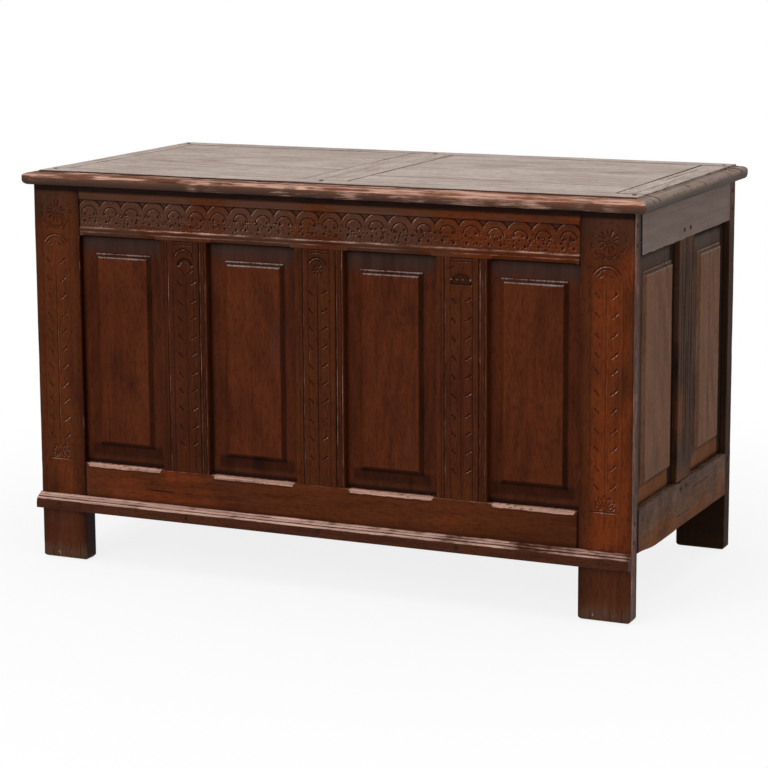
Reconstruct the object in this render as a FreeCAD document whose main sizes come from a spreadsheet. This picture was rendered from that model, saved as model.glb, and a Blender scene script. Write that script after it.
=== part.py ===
import FreeCAD, Part
import Sketcher
import os
import re

# A joined oak coffer chest: four stile feet carry pegged rails, muntins and fielded panels,
# a plank floor sits in grooves, and a framed lid swings on two iron strap hinges at the back.
# Millimetres. +Z is up, -Y is the carved front, +X is to the right seen from the front.
# The origin is on the floor, under the middle of the chest with its lid and base moulding.

SIZES = {
    # overall carcase
    "body_width": 1230,
    "body_depth": 610,
    "body_height": 744,
    "foot_height": 104,
    # corner stiles
    "stile_width": 100,
    "stile_thickness": 35,
    # front and back rails and muntins
    "rail_thickness": 30,
    "top_rail_height": 94,
    "bottom_rail_height": 96,
    "muntin_width": 100,
    "front_muntin_pitch": 287,
    "back_muntin_pitch": 210,
    "plain_band_height": 24,
    "carved_band_recess": 1.5,
    "fascia_height": 15,
    "rail_chamfer": 7,
    "chamfer_stop": 16,
    # side rails and muntins
    "side_rail_thickness": 26,
    "side_top_rail_height": 79,
    "side_bottom_rail_height": 91,
    "side_rail_lift": 11,
    "side_muntin_width": 86,
    # grooves, panels and their raised fields
    "groove_depth": 9,
    "front_setback": 13,
    "side_setback": 11,
    "panel_edge": 8,
    "panel_play": 0.8,
    "groove_play": 0.1,
    "field_margin": 44,
    "field_bevel": 12,
    "field_rise": 5,
    # tenons and oak pegs
    "tenon_thickness": 9,
    "rail_tenon": 38,
    "side_tenon": 26,
    "muntin_tenon": 34,
    "tenon_shoulder": 12,
    "top_haunch": 22,
    "joint_play": 0.2,
    "peg_radius": 4,
    "peg_pitch": 36,
    "peg_inset": 17,
    "bottom_peg_lift": 6,
    "peg_proud": 0.6,
    "peg_short": 5,
    "peg_play": 0.1,
    # base moulding across the front
    "moulding_return": 2,
    "moulding_height": 30,
    "moulding_projection": 19,
    "moulding_face": 21,
    "moulding_fillet": 6,
    # floor boards
    "floor_lift": 24,
    "floor_thickness": 12,
    "floor_groove": 8,
    "floor_board_count": 5,
    "floor_gap": 1,
    # lid
    "lid_thickness": 28,
    "lid_overhang_front": 8,
    "lid_overhang_side": 24,
    "lid_overhang_rear": 8,
    "lid_nose": 27,
    "lid_quirk_depth": 1.6,
    "lid_quirk_width": 2,
    "lid_nose_drop": 11,
    "lid_nose_land": 3,
    "lid_nose_undercut": 9,
    "lid_thumb_radius": 33.75,
    "lid_front_rail_width": 74,
    "lid_rear_rail_width": 48,
    "lid_left_stile_width": 64,
    "lid_right_stile_width": 82,
    "lid_muntin_width": 95,
    "lid_muntin_offset": 17,
    "lid_board_split": 175,
    "lid_board_gap": 0.6,
    "lid_tongue": 8,
    "lid_tongue_height": 10,
    "lid_tenon": 34,
    # strap hinges
    "hinge_inset": 117,
    "hinge_axis_out": 1.5,
    "pin_radius": 3,
    "pin_play": 0.05,
    "knuckle_radius": 6,
    "knuckle_length": 20,
    "knuckle_gap": 0.4,
    "knuckle_clearance": 0.5,
    "strap_thickness": 3,
    "strap_width": 32,
    "strap_length": 210,
    "strap_end_radius": 21,
    "leaf_height": 76,
    "iron_play": 0.3,
    "pin_head_radius": 4.5,
    "pin_head": 2,
    # forged nails
    "nail_radius": 1.8,
    "nail_length": 22,
    "nail_head_radius": 4.6,
    "nail_head": 1.5,
    "leaf_nail_drop": 28,
    "leaf_nail_rise": 30,
    "leaf_nail_spread": 36,
    "strap_nail_start": 54,
    "strap_nail_pitch": 66,
}

# Places worked out from the sizes above, each from names that come before it.
PLACES = {
    "half_width": "body_width / 2",
    "lid_half_width": "body_width / 2 + lid_overhang_side",
    "half_depth": "(body_depth + moulding_projection + nail_head + lid_overhang_rear) / 2",
    "front_face": "moulding_projection + nail_head - half_depth",
    "back_face": "half_depth - lid_overhang_rear",
    "lid_front": "front_face - lid_overhang_front",
    "frame_half": "half_width - stile_width",
    "front_inner": "front_face + stile_thickness",
    "back_inner": "back_face - stile_thickness",
    "front_rail_inner": "front_face + rail_thickness",
    "back_rail_inner": "back_face - rail_thickness",
    "side_rail_inner": "half_width - side_rail_thickness",
    "side_middle": "(front_inner + back_inner) / 2",
    "top_rail_bottom": "body_height - top_rail_height",
    "bottom_rail_top": "foot_height + bottom_rail_height",
    "side_top_rail_bottom": "body_height - side_top_rail_height",
    "side_bottom_rail_bottom": "foot_height + side_rail_lift",
    "side_bottom_rail_top": "side_bottom_rail_bottom + side_bottom_rail_height",
    "floor_bottom": "foot_height + floor_lift",
    "floor_top": "floor_bottom + floor_thickness",
    "floor_reach": "side_rail_inner + floor_groove - floor_gap",
    "floor_front": "front_rail_inner - floor_groove + floor_gap",
    "floor_back": "back_rail_inner + floor_groove - floor_gap",
    "floor_pitch": "2 * floor_reach / floor_board_count",
    "lid_top": "body_height + lid_thickness",
    "lid_front_joint": "lid_front + lid_front_rail_width",
    "lid_rear_joint": "half_depth - lid_rear_rail_width",
    "lid_left_joint": "lid_left_stile_width - lid_half_width",
    "lid_right_joint": "lid_half_width - lid_right_stile_width",
    "lid_muntin_left": "-lid_muntin_offset - lid_muntin_width / 2",
    "lid_muntin_right": "-lid_muntin_offset + lid_muntin_width / 2",
    "lid_split": "lid_front + lid_board_split",
    "tongue_bottom": "body_height + lid_tongue_height",
    "tongue_top": "tongue_bottom + lid_tongue",
    "hinge_axis_y": "back_face + hinge_axis_out",
    "hinge_half": "1.5 * knuckle_length + knuckle_gap",
    "knuckle_room": "knuckle_radius + knuckle_clearance",
    "strap_end": "hinge_axis_y - strap_length",
    "hinge_offset": "frame_half - hinge_inset",
    "moulding_width": "body_width + 2 * moulding_return",
    "moulding_nail_pitch": "(half_width - stile_width / 2) / 2",
}

doc = FreeCAD.newDocument("coffer_chest")
owner = {}
nodes = []


def formula(text, home=""):
    """Turns bare size and place names into references to the sheet that holds each."""
    def reference(match):
        name = match.group()
        return name if owner[name] == home else owner[name] + "." + name
    return re.sub(r"[a-z][a-z0-9_]*", reference, text)


def fill_sheet(name, contents):
    """Writes one named value per row and gives each value cell its alias."""
    sheet = doc.addObject("Spreadsheet::Sheet", name)
    for row, (alias, content) in enumerate(contents.items(), start=1):
        plain = not isinstance(content, str)
        sheet.set(f"A{row}", "'" + alias)
        sheet.set(f"B{row}", str(content) if plain else "=" + formula(content, name))
        sheet.setAlias(f"B{row}", alias)
        owner[alias] = name
    return sheet


sizes = fill_sheet("sizes", SIZES)
doc.recompute()
places = fill_sheet("places", PLACES)
doc.recompute()


def bind(thing, prop, text):
    thing.setExpression(prop, formula(text))


def number(text):
    """The present value of an expression, for sketch geometry and for counting copies."""
    return float(sizes.evalExpression(formula(text)))


def keep(thing):
    """Marks a finished sub-part: its label names its file."""
    nodes.append(thing)
    return thing


# ---------------------------------------------------------------- shapes
# A region is three (low, high) pairs of expressions, for X, Y and Z.

def block(label, region):
    box = doc.addObject("Part::Box", label)
    for length, edge, (low, high) in zip(("Length", "Width", "Height"), "xyz", region):
        bind(box, length, f"({high}) - ({low})")
        bind(box, "Placement.Base." + edge, low)
    return box


def cylinder(label, centre, radius, length, turn):
    """A round bar from centre along its turned axis; turn is (axis, degrees) from +Z."""
    bar = doc.addObject("Part::Cylinder", label)
    bar.Placement.Rotation = FreeCAD.Rotation(FreeCAD.Vector(*turn[0]), turn[1])
    bind(bar, "Radius", radius)
    bind(bar, "Height", length)
    for edge, place in zip("xyz", centre):
        bind(bar, "Placement.Base." + edge, place)
    return bar


def fused(label, pieces):
    if len(pieces) == 1:
        return pieces[0]
    whole = doc.addObject("Part::MultiFuse", label)
    whole.Shapes = pieces
    whole.Refine = True
    return whole


def cut(label, base, tools):
    """base less all tools, with the label of the finished piece."""
    piece = doc.addObject("Part::Cut", label)
    piece.Base = base
    piece.Tool = fused(label + "_tools", tools)
    piece.Refine = True
    return piece


def common(label, base, tool):
    piece = doc.addObject("Part::Common", label)
    piece.Base = base
    piece.Tool = tool
    piece.Refine = True
    return piece


def group(label, pieces):
    """Identical fasteners as separate solids under one name."""
    whole = doc.addObject("Part::Compound", label)
    whole.Links = pieces
    return keep(whole)


def grown(region, amount):
    return tuple((f"{low} - {amount}", f"{high} + {amount}") for low, high in region)


def moulded_bar(label, role, outline, length, arcs=None):
    """A bar with a drawn section: outline is a list of (u, v) corners on an origin plane.

    arcs maps the index of an edge to (radius, side): the edge bulges to that side of its chord.
    The bar is padded equally both ways from the plane.
    """
    arcs = arcs or {}
    body = doc.addObject("PartDesign::Body", label)
    sketch = body.newObject("Sketcher::SketchObject", label + "_section")
    plane = next(part for part in body.Origin.OriginFeatures if part.Role == role)
    sketch.AttachmentSupport = (plane, [""])
    sketch.MapMode = "FlatFace"
    corners = [FreeCAD.Vector(number(u), number(v), 0) for u, v in outline]
    for index, start in enumerate(corners):
        end = corners[(index + 1) % len(corners)]
        if index in arcs:
            radius, side = arcs[index]
            chord = end - start
            across = FreeCAD.Vector(-chord.y, chord.x, 0).normalize()
            reach = number(radius)
            rise = reach - (reach ** 2 - (chord.Length / 2) ** 2) ** 0.5
            middle = (start + end) * 0.5 + across * rise * side
            sketch.addGeometry(Part.Arc(start, middle, end), False)
        else:
            sketch.addGeometry(Part.LineSegment(start, end), False)

    def end_at(edge, point):
        return 1 if (sketch.getPoint(edge, 1) - point).Length < 1e-6 else 2

    for index, (corner, (u, v)) in enumerate(zip(corners, outline)):
        before = (index - 1) % len(corners)
        here = end_at(index, corner)
        sketch.addConstraint(Sketcher.Constraint("Coincident", before, end_at(before, corner), index, here))
        for kind, value, text in (("DistanceX", corner.x, u), ("DistanceY", corner.y, v)):
            place = sketch.addConstraint(Sketcher.Constraint(kind, -1, 1, index, here, value))
            sketch.setExpression(f"Constraints[{place}]", formula(text))
    for index, (radius, side) in arcs.items():
        place = sketch.addConstraint(Sketcher.Constraint("Radius", index, number(radius)))
        sketch.setExpression(f"Constraints[{place}]", formula(radius))
    pad = body.newObject("PartDesign::Pad", label + "_length")
    pad.Profile = sketch
    pad.SideType = "Symmetric"
    bind(pad, "Length", length)
    body.Tip = pad
    return body


# ---------------------------------------------------------------- framed walls
# In a wall, u runs along it, v is the depth in from its outer face and w is the height.
# Each entry: axis of u, outer face, direction inward, turn that points a bar inward.

WALLS = {
    "front": ("x", "front_face", "+", ((1, 0, 0), -90)),
    "back": ("x", "back_face", "-", ((1, 0, 0), 90)),
    "left": ("y", "-half_width", "+", ((0, 1, 0), 90)),
    "right": ("y", "half_width", "-", ((0, 1, 0), -90)),
}


def in_wall(side, u, v, w):
    along, face, sign, turn = WALLS[side]
    near = f"{face} {sign} ({v[0]})"
    far = f"{face} {sign} ({v[1]})"
    depth = (near, far) if sign == "+" else (far, near)
    return (u, depth, w) if along == "x" else (depth, u, w)


def wall_peg(label, side, u, w, radius, start, length):
    """A round bar that starts at depth start and runs into the wall."""
    centre = [pair[0] for pair in in_wall(side, (u, u), (start, start), (w, w))]
    return cylinder(label, centre, radius, length, WALLS[side][3])


def raised_field(label, side, opening_u, opening_w, setback):
    """The bevelled field that stands on a panel: a frustum between its foot and its flat face."""
    wedge = doc.addObject("Part::Wedge", label)
    quarter_turn = {"front": 0, "right": 90, "left": -90}[side]
    wedge.Placement.Rotation = FreeCAD.Rotation(FreeCAD.Vector(0, 0, 1), quarter_turn)
    face = "front_face" if side == "front" else "-half_width"
    low_u, high_u = opening_u
    if side == "left":
        low_u, high_u = f"-({opening_u[1]})", f"-({opening_u[0]})"
    low_w, high_w = opening_w
    foot = "(field_margin - field_bevel)"
    for prop, text in (
        ("Xmin", f"{low_u} + field_margin"), ("Xmax", f"{high_u} - field_margin"),
        ("Zmin", f"{low_w} + field_margin"), ("Zmax", f"{high_w} - field_margin"),
        ("X2min", f"{low_u} + {foot}"), ("X2max", f"{high_u} - {foot}"),
        ("Z2min", f"{low_w} + {foot}"), ("Z2max", f"{high_w} - {foot}"),
        ("Ymin", f"{face} + {setback} - field_rise"), ("Ymax", f"{face} + {setback} + groove_play"),
    ):
        bind(wedge, prop, text)
    return wedge


def framed_wall(side, ends, rails, muntins, panels, thickness, setback, tenon, rail_extras):
    """Builds the rails, muntins, panels and pegs of one wall.

    ends: u of the two stile shoulders. rails: (low, high) heights of the top and bottom rails.
    muntins: (name, centre, width) in order. panels: names in order. thickness, setback and tenon
    are size names. rail_extras: more cutting tools for the top and the bottom rail.
    Returns what the stiles have to be cut with: mortises, grooves and peg holes.
    """
    top, bottom = rails
    tenon_depth = (f"{setback} - (tenon_thickness - panel_edge) / 2",
                   f"{setback} + panel_edge + (tenon_thickness - panel_edge) / 2")
    edges = [ends[0]]
    for name, centre, width in muntins:
        edges += [f"({centre}) - {width} / 2", f"({centre}) + {width} / 2"]
    edges.append(ends[1])
    openings = list(zip(edges[0::2], edges[1::2]))
    opening_w = (bottom[1], top[0])

    groove_v = (setback, f"{setback} + panel_edge + 2 * groove_play")
    groove_w = (f"{opening_w[0]} - groove_depth", f"{opening_w[1]} + groove_depth")
    grooves = fused(side + "_grooves", [
        block(side + "_groove", in_wall(side, (f"{low} - groove_depth", f"{high} + groove_depth"),
                                        groove_v, groove_w)) for low, high in openings])

    rail_tenons = {}
    for rail, (low, high) in (("top", top), ("bottom", bottom)):
        upper = f"{high} - top_haunch" if rail == "top" else f"{high} - tenon_shoulder"
        height = (f"{low} + tenon_shoulder", upper)
        rail_tenons[rail] = [
            in_wall(side, (f"{ends[0]} - {tenon}", ends[0]), tenon_depth, height),
            in_wall(side, (ends[1], f"{ends[1]} + {tenon}"), tenon_depth, height)]
    muntin_tenons = {}
    for name, centre, width in muntins:
        across = (f"({centre}) - {width} / 2 + tenon_shoulder", f"({centre}) + {width} / 2 - tenon_shoulder")
        muntin_tenons[name] = [
            in_wall(side, across, tenon_depth, (f"{opening_w[0]} - muntin_tenon", opening_w[0])),
            in_wall(side, across, tenon_depth, (opening_w[1], f"{opening_w[1]} + muntin_tenon"))]

    peg_places = []
    for (low, high), lift in ((top, "0"), (bottom, "bottom_peg_lift")):
        middle = f"(({low}) + ({high})) / 2 + {lift}"
        for u in (f"{ends[0]} - peg_inset", f"{ends[1]} + peg_inset"):
            peg_places += [(u, f"{middle} - peg_pitch / 2"), (u, f"{middle} + peg_pitch / 2")]
    for name, centre, width in muntins:
        for w in (f"{opening_w[0]} - peg_inset", f"{opening_w[1]} + peg_inset"):
            peg_places += [(f"({centre}) - peg_pitch / 2", w), (f"({centre}) + peg_pitch / 2", w)]
    pegs = [wall_peg(side + "_peg", side, u, w, "peg_radius", "-peg_proud",
                     f"{thickness} - peg_short + peg_proud") for u, w in peg_places]
    holes = fused(side + "_peg_holes", [
        wall_peg(side + "_peg_hole", side, u, w, "peg_radius + peg_play", "-peg_proud",
                 f"{thickness} - peg_short + peg_proud + peg_play") for u, w in peg_places])

    muntin_mortises = [block(side + "_muntin_mortise", grown(tenon_region, "joint_play"))
                       for regions in muntin_tenons.values() for tenon_region in regions]
    for rail, (low, high) in (("top", top), ("bottom", bottom)):
        label = f"{side}_{rail}_rail"
        pieces = [block(label + "_board", in_wall(side, ends, ("0", thickness), (low, high)))]
        pieces += [block(label + "_tenon", region) for region in rail_tenons[rail]]
        keep(cut(label, fused(label + "_tenoned", pieces),
                 [grooves, holes] + muntin_mortises + rail_extras[rail]))
    for name, centre, width in muntins:
        label = f"{side}_{name}"
        across = (f"({centre}) - {width} / 2", f"({centre}) + {width} / 2")
        pieces = [block(label + "_board", in_wall(side, across, ("0", thickness), opening_w))]
        pieces += [block(label + "_tenon", region) for region in muntin_tenons[name]]
        keep(cut(label, fused(label + "_tenoned", pieces), [grooves, holes]))

    reach = "groove_depth - panel_play"
    for name, (low, high) in zip(panels, openings):
        label = f"{side}_{name}"
        slab = block(label + "_slab", in_wall(
            side, (f"{low} - ({reach})", f"{high} + ({reach})"),
            (f"{setback} + groove_play", f"{setback} + groove_play + panel_edge"),
            (f"{opening_w[0]} - ({reach})", f"{opening_w[1]} + ({reach})")))
        if side == "back":
            slab.Label = label
            keep(slab)
        else:
            keep(fused(label, [slab, raised_field(label + "_field", side, (low, high), opening_w, setback)]))
    group(side + "_pegs", pegs)
    mortises = [block(side + "_rail_mortise", grown(region, "joint_play"))
                for regions in rail_tenons.values() for region in regions]
    return mortises + [grooves, holes]


def chamfer_waste(low, high, edge, sign):
    """One stopped chamfer on a front rail's edge beside a panel; sign points from the rail to the panel."""
    wedge = doc.addObject("Part::Wedge", "rail_chamfer_waste")
    outside = f"{edge} {sign} 1"
    foot = f"{edge} - rail_chamfer" if sign == "+" else f"{edge} + rail_chamfer"
    low_w, high_w = (foot, outside) if sign == "+" else (outside, foot)
    low_w2, high_w2 = (edge, outside) if sign == "+" else (outside, edge)
    for prop, text in (
        ("Xmin", f"{low} + chamfer_stop"), ("Xmax", f"{high} - chamfer_stop"),
        ("X2min", f"{low} + chamfer_stop + rail_chamfer"), ("X2max", f"{high} - chamfer_stop - rail_chamfer"),
        ("Zmin", low_w), ("Zmax", high_w), ("Z2min", low_w2), ("Z2max", high_w2),
        ("Ymin", "front_face"), ("Ymax", "front_face + rail_chamfer"),
    ):
        bind(wedge, prop, text)
    return wedge


# ---------------------------------------------------------------- hinges
# side_sign is -1 for the left hinge and +1 for the right one.

def hinge_x(side_sign):
    return f"{side_sign} * hinge_offset"


def across_hinge(side_sign, half):
    return (f"{hinge_x(side_sign)} - ({half})", f"{hinge_x(side_sign)} + ({half})")


def knuckle(label, side_sign, start, radius, length):
    """A round bar on the hinge axis; start is its offset in X from the hinge's middle."""
    centre = (f"{hinge_x(side_sign)} + ({start})", "hinge_axis_y", "body_height")
    return cylinder(label, centre, radius, length, ((0, 1, 0), 90))


def leaf_housing(side_sign):
    """What the back top rail loses: a bed for the leaf and room for the knuckles."""
    bed = block("leaf_bed", (across_hinge(side_sign, "hinge_half + iron_play"),
                             ("back_face - strap_thickness", "back_face + 1"),
                             ("body_height - leaf_height - iron_play", "body_height + 1")))
    notch = block("leaf_notch", (across_hinge(side_sign, "hinge_half + pin_head + iron_play"),
                                 ("hinge_axis_y - knuckle_room", "back_face + 1"),
                                 ("body_height - knuckle_room", "body_height + 1")))
    return [bed, notch]


def strap_housing(side_sign):
    """What the lid's rear rail loses: a bed for the strap and room for the knuckles."""
    bed = block("strap_bed", (across_hinge(side_sign, "strap_width / 2 + iron_play"),
                              ("lid_rear_joint - 1", "hinge_axis_y"),
                              ("body_height - 1", "body_height + strap_thickness")))
    notch = block("strap_notch", (across_hinge(side_sign, "hinge_half + pin_head + iron_play"),
                                  ("hinge_axis_y - knuckle_room", "hinge_axis_y + knuckle_room"),
                                  ("body_height - 1", "body_height + knuckle_room")))
    return [bed, notch]


def hinge(side, side_sign):
    """One strap hinge: the leaf on the back, and the strap under the lid."""
    pin_hole = knuckle(f"pin_hole_{side}", side_sign, "-hinge_half - 1", "pin_radius + pin_play",
                       "2 * hinge_half + 2")
    outer_start = "knuckle_length / 2 + knuckle_gap"
    plate = block(f"leaf_plate_{side}", (across_hinge(side_sign, "hinge_half"),
                                         ("back_face - strap_thickness", "back_face"),
                                         ("body_height - leaf_height", "body_height")))
    window = block(f"leaf_window_{side}", (across_hinge(side_sign, outer_start),
                                           ("back_face - strap_thickness - 1", "back_face + 1"),
                                           ("body_height - knuckle_room", "body_height + 1")))
    eyes = [knuckle(f"leaf_eye_{side}", side_sign, start, "knuckle_radius", "knuckle_length")
            for start in (outer_start, f"-({outer_start}) - knuckle_length")]
    leaf = fused(f"leaf_{side}", [cut(f"leaf_plate_open_{side}", plate, [window])] + eyes)
    keep(cut(f"hinge_leaf_{side}", leaf, [pin_hole]))

    bar = block(f"strap_bar_{side}", (across_hinge(side_sign, "strap_width / 2"),
                                      ("strap_end", "hinge_axis_y - knuckle_room"),
                                      ("body_height", "body_height + strap_thickness")))
    neck = block(f"strap_neck_{side}", (across_hinge(side_sign, "knuckle_length / 2"),
                                        ("hinge_axis_y - knuckle_room", "hinge_axis_y"),
                                        ("body_height", "body_height + strap_thickness")))
    tip = cylinder(f"strap_tip_{side}", (hinge_x(side_sign), "strap_end", "body_height"),
                   "strap_end_radius", "strap_thickness", ((0, 0, 1), 0))
    eye = knuckle(f"strap_eye_{side}", side_sign, "-knuckle_length / 2", "knuckle_radius", "knuckle_length")
    strap = fused(f"strap_{side}", [bar, neck, tip, eye])
    keep(cut(f"hinge_strap_{side}", strap, [pin_hole]))

    shank = knuckle(f"pin_shank_{side}", side_sign, "-hinge_half", "pin_radius", "2 * hinge_half")
    heads = [knuckle(f"pin_head_{side}", side_sign, start, "pin_head_radius", "pin_head")
             for start in ("hinge_half", "-hinge_half - pin_head")]
    return fused(f"pin_{side}", [shank] + heads)


def nail(label, head_face, turn, direction):
    """A forged nail: head_face is the middle of the surface its head lies on."""
    shank = cylinder(label + "_shank", head_face, "nail_radius", "nail_length", turn)
    head_start = list(head_face)
    axis, sign = direction
    head_start["xyz".index(axis)] += f" {sign} nail_head"
    head = cylinder(label + "_head", head_start, "nail_head_radius", "nail_head", turn)
    return fused(label, [shank, head])


# ---------------------------------------------------------------- carcase
frame_ends = ("-frame_half", "frame_half")
side_ends = ("front_inner", "back_inner")
front_muntins = [("muntin_left", "-front_muntin_pitch", "muntin_width"),
                 ("muntin_centre", "0", "muntin_width"),
                 ("muntin_right", "front_muntin_pitch", "muntin_width")]
back_muntins = [("muntin_left", "-back_muntin_pitch", "muntin_width"),
                ("muntin_right", "back_muntin_pitch", "muntin_width")]
side_muntins = [("muntin", "side_middle", "side_muntin_width")]

front_openings = [("-frame_half", "-front_muntin_pitch - muntin_width / 2"),
                  ("-front_muntin_pitch + muntin_width / 2", "-muntin_width / 2"),
                  ("muntin_width / 2", "front_muntin_pitch - muntin_width / 2"),
                  ("front_muntin_pitch + muntin_width / 2", "frame_half")]
carved_band = block("carved_band_waste", in_wall(
    "front", frame_ends, ("-1", "carved_band_recess"),
    ("top_rail_bottom + fascia_height", "body_height - plain_band_height")))

floor_region = (("-floor_reach - floor_gap", "floor_reach + floor_gap"),
                ("floor_front - floor_gap", "floor_back + floor_gap"),
                ("floor_bottom", "floor_top + 2 * groove_play"))
floor_slot = block("floor_slot", floor_region)

wall_tools = {}
wall_tools["front"] = framed_wall(
    "front", frame_ends, (("top_rail_bottom", "body_height"), ("foot_height", "bottom_rail_top")),
    front_muntins, ["panel_far_left", "panel_mid_left", "panel_mid_right", "panel_far_right"],
    "rail_thickness", "front_setback", "rail_tenon",
    {"top": [carved_band] + [chamfer_waste(low, high, "top_rail_bottom", "-")
                             for low, high in front_openings],
     "bottom": [floor_slot] + [chamfer_waste(low, high, "bottom_rail_top", "+")
                               for low, high in front_openings]})
wall_tools["back"] = framed_wall(
    "back", frame_ends, (("top_rail_bottom", "body_height"), ("foot_height", "bottom_rail_top")),
    back_muntins, ["panel_left", "panel_centre", "panel_right"],
    "rail_thickness", "front_setback", "rail_tenon",
    {"top": leaf_housing(-1) + leaf_housing(1), "bottom": [floor_slot]})
for side in ("left", "right"):
    wall_tools[side] = framed_wall(
        side, side_ends,
        (("side_top_rail_bottom", "body_height"), ("side_bottom_rail_bottom", "side_bottom_rail_top")),
        side_muntins, ["panel_front", "panel_rear"],
        "side_rail_thickness", "side_setback", "side_tenon", {"top": [], "bottom": [floor_slot]})

stile_x = {"left": ("-half_width", "-frame_half"), "right": ("frame_half", "half_width")}
stile_y = {"front": ("front_face", "front_inner"), "rear": ("back_inner", "back_face")}
stile_blocks = {}
for end, y in stile_y.items():
    for side, x in stile_x.items():
        label = f"{end}_{side}_stile"
        region = (x, y, ("0", "body_height"))
        stile_blocks[label] = region
        faces = wall_tools["front" if end == "front" else "back"] + wall_tools[side]
        keep(cut(label, block(label + "_post", region), faces))

moulding_top = "foot_height + moulding_height"
moulding_bar = moulded_bar(
    "base_moulding_bar", "YZ_Plane",
    [("front_face", "foot_height"),
     ("front_face - moulding_projection", "foot_height"),
     ("front_face - moulding_projection", "foot_height + moulding_face"),
     ("front_face - moulding_projection + moulding_fillet", "foot_height + moulding_face + moulding_fillet"),
     ("front_face", moulding_top)],
    "moulding_width", arcs={2: ("moulding_fillet", 1)})
moulding_nail_face = "front_face - moulding_projection"
moulding_nail_steps = (-2, -1, 0, 1, 2)
moulding_nails = []
moulding_nail_holes = []
for step in moulding_nail_steps:
    centre = (f"{step} * moulding_nail_pitch", moulding_nail_face, "foot_height + moulding_face / 2")
    moulding_nails.append(nail("moulding_nail", centre, ((1, 0, 0), -90), ("y", "-")))
    moulding_nail_holes.append(cylinder("moulding_nail_hole", centre, "nail_radius + peg_play",
                                        "moulding_projection", ((1, 0, 0), -90)))
nail_bore_depth = "nail_length - moulding_projection + peg_play"
rail_nail_holes = [cylinder("rail_nail_hole", (f"{step} * moulding_nail_pitch", "front_face",
                                               "foot_height + moulding_face / 2"),
                            "nail_radius + peg_play", nail_bore_depth, ((1, 0, 0), -90))
                   for step in moulding_nail_steps]
keep(cut("base_moulding", moulding_bar, moulding_nail_holes))
group("moulding_nails", moulding_nails)


def nailed(name, tools):
    """Bores an already finished sub-part: the bored copy takes over its label and its place."""
    plain = next(thing for thing in nodes if thing.Label == name)
    nodes.remove(plain)
    plain.Label = name + "_plain"
    keep(cut(name, plain, tools)).Label = name


for name in ("front_bottom_rail", "front_left_stile", "front_right_stile"):
    nailed(name, rail_nail_holes)

board_count = int(number("floor_board_count"))
for index in range(board_count):
    label = f"floor_board_{index + 1}"
    low = f"-floor_reach + {index} * floor_pitch"
    region = ((low, f"{low} + floor_pitch - floor_gap"), ("floor_front", "floor_back"),
              ("floor_bottom + groove_play", "floor_top + groove_play"))
    if 0 < index < board_count - 1:
        keep(block(label, region))
        continue
    side = "left" if index == 0 else "right"
    notches = [block(label + "_notch", grown(stile_blocks[f"{end}_{side}_stile"], "floor_gap / 2"))
               for end in stile_y]
    keep(cut(label, block(label + "_whole", region), notches))

# ---------------------------------------------------------------- lid
nose_low = "lid_top - lid_nose_drop - lid_nose_land"


def thumb_moulding(tip, inward):
    """Edge of the lid from its underside up to the quirk; tip is the nose, inward points to the middle."""
    return [(f"{tip} {inward} lid_nose_undercut", "body_height"),
            (tip, nose_low),
            (tip, "lid_top - lid_nose_drop"),
            (f"{tip} {inward} (lid_nose - lid_quirk_width)", "lid_top - lid_quirk_depth"),
            (f"{tip} {inward} lid_nose", "lid_top - lid_quirk_depth"),
            (f"{tip} {inward} lid_nose", "lid_top")]


front_nose = thumb_moulding("lid_front", "+")
left_nose = thumb_moulding("-lid_half_width", "+")
right_nose = list(reversed(thumb_moulding("lid_half_width", "-")))
lid_along = moulded_bar(
    "lid_along", "YZ_Plane",
    front_nose + [("half_depth", "lid_top"), ("half_depth", "body_height")],
    "2 * lid_half_width", arcs={0: ("lid_nose", -1), 2: ("lid_thumb_radius", 1)})
lid_across = moulded_bar(
    "lid_across", "XZ_Plane", left_nose + right_nose, "2 * half_depth",
    arcs={0: ("lid_nose", -1), 2: ("lid_thumb_radius", 1), 8: ("lid_thumb_radius", 1), 10: ("lid_nose", -1)})
lid_blank = common("lid_blank", lid_along, lid_across)

lid_height = ("body_height - 1", "lid_top + 1")
tenon_z = ("tongue_bottom", "tongue_top")
tongue_reach = "groove_depth - panel_play"
lid_groove_z = ("tongue_bottom - groove_play", "tongue_top + groove_play")


def lid_groove(label, x, y):
    return block(label, ((f"{x[0]} - groove_depth", f"{x[1]} + groove_depth"),
                         (f"{y[0]} - groove_depth", f"{y[1]} + groove_depth"), lid_groove_z))


lid_bays = {"left": ("lid_left_joint", "lid_muntin_left"), "right": ("lid_muntin_right", "lid_right_joint")}
lid_y = ("lid_front_joint", "lid_rear_joint")
lid_grooves = fused("lid_grooves", [lid_groove("lid_groove_" + side, x, lid_y)
                                    for side, x in lid_bays.items()])

uprights = {
    "lid_left_stile": ("-lid_half_width", "lid_left_joint", "lid_nose + tenon_shoulder", "tenon_shoulder"),
    "lid_muntin": ("lid_muntin_left", "lid_muntin_right", "tenon_shoulder", "tenon_shoulder"),
    "lid_right_stile": ("lid_right_joint", "lid_half_width", "tenon_shoulder", "lid_nose + tenon_shoulder"),
}
lid_mortises = []
lid_peg_places = []
upright_pieces = {}
for label, (low, high, low_shoulder, high_shoulder) in uprights.items():
    tenon_x = (f"{low} + {low_shoulder}", f"{high} - {high_shoulder}")
    tenons = [(tenon_x, ("lid_front_joint - lid_tenon", "lid_front_joint"), tenon_z),
              (tenon_x, ("lid_rear_joint", "lid_rear_joint + lid_tenon"), tenon_z)]
    lid_mortises += [block(label + "_mortise", grown(region, "joint_play")) for region in tenons]
    middle = f"(({tenon_x[0]}) + ({tenon_x[1]})) / 2"
    lid_peg_places += [(middle, "lid_front_joint - peg_inset"), (middle, "lid_rear_joint + peg_inset")]
    core = common(label + "_core", lid_blank, block(label + "_span", ((low, high), lid_y, lid_height)))
    upright_pieces[label] = [core] + [block(label + "_tenon", region) for region in tenons]

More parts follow.
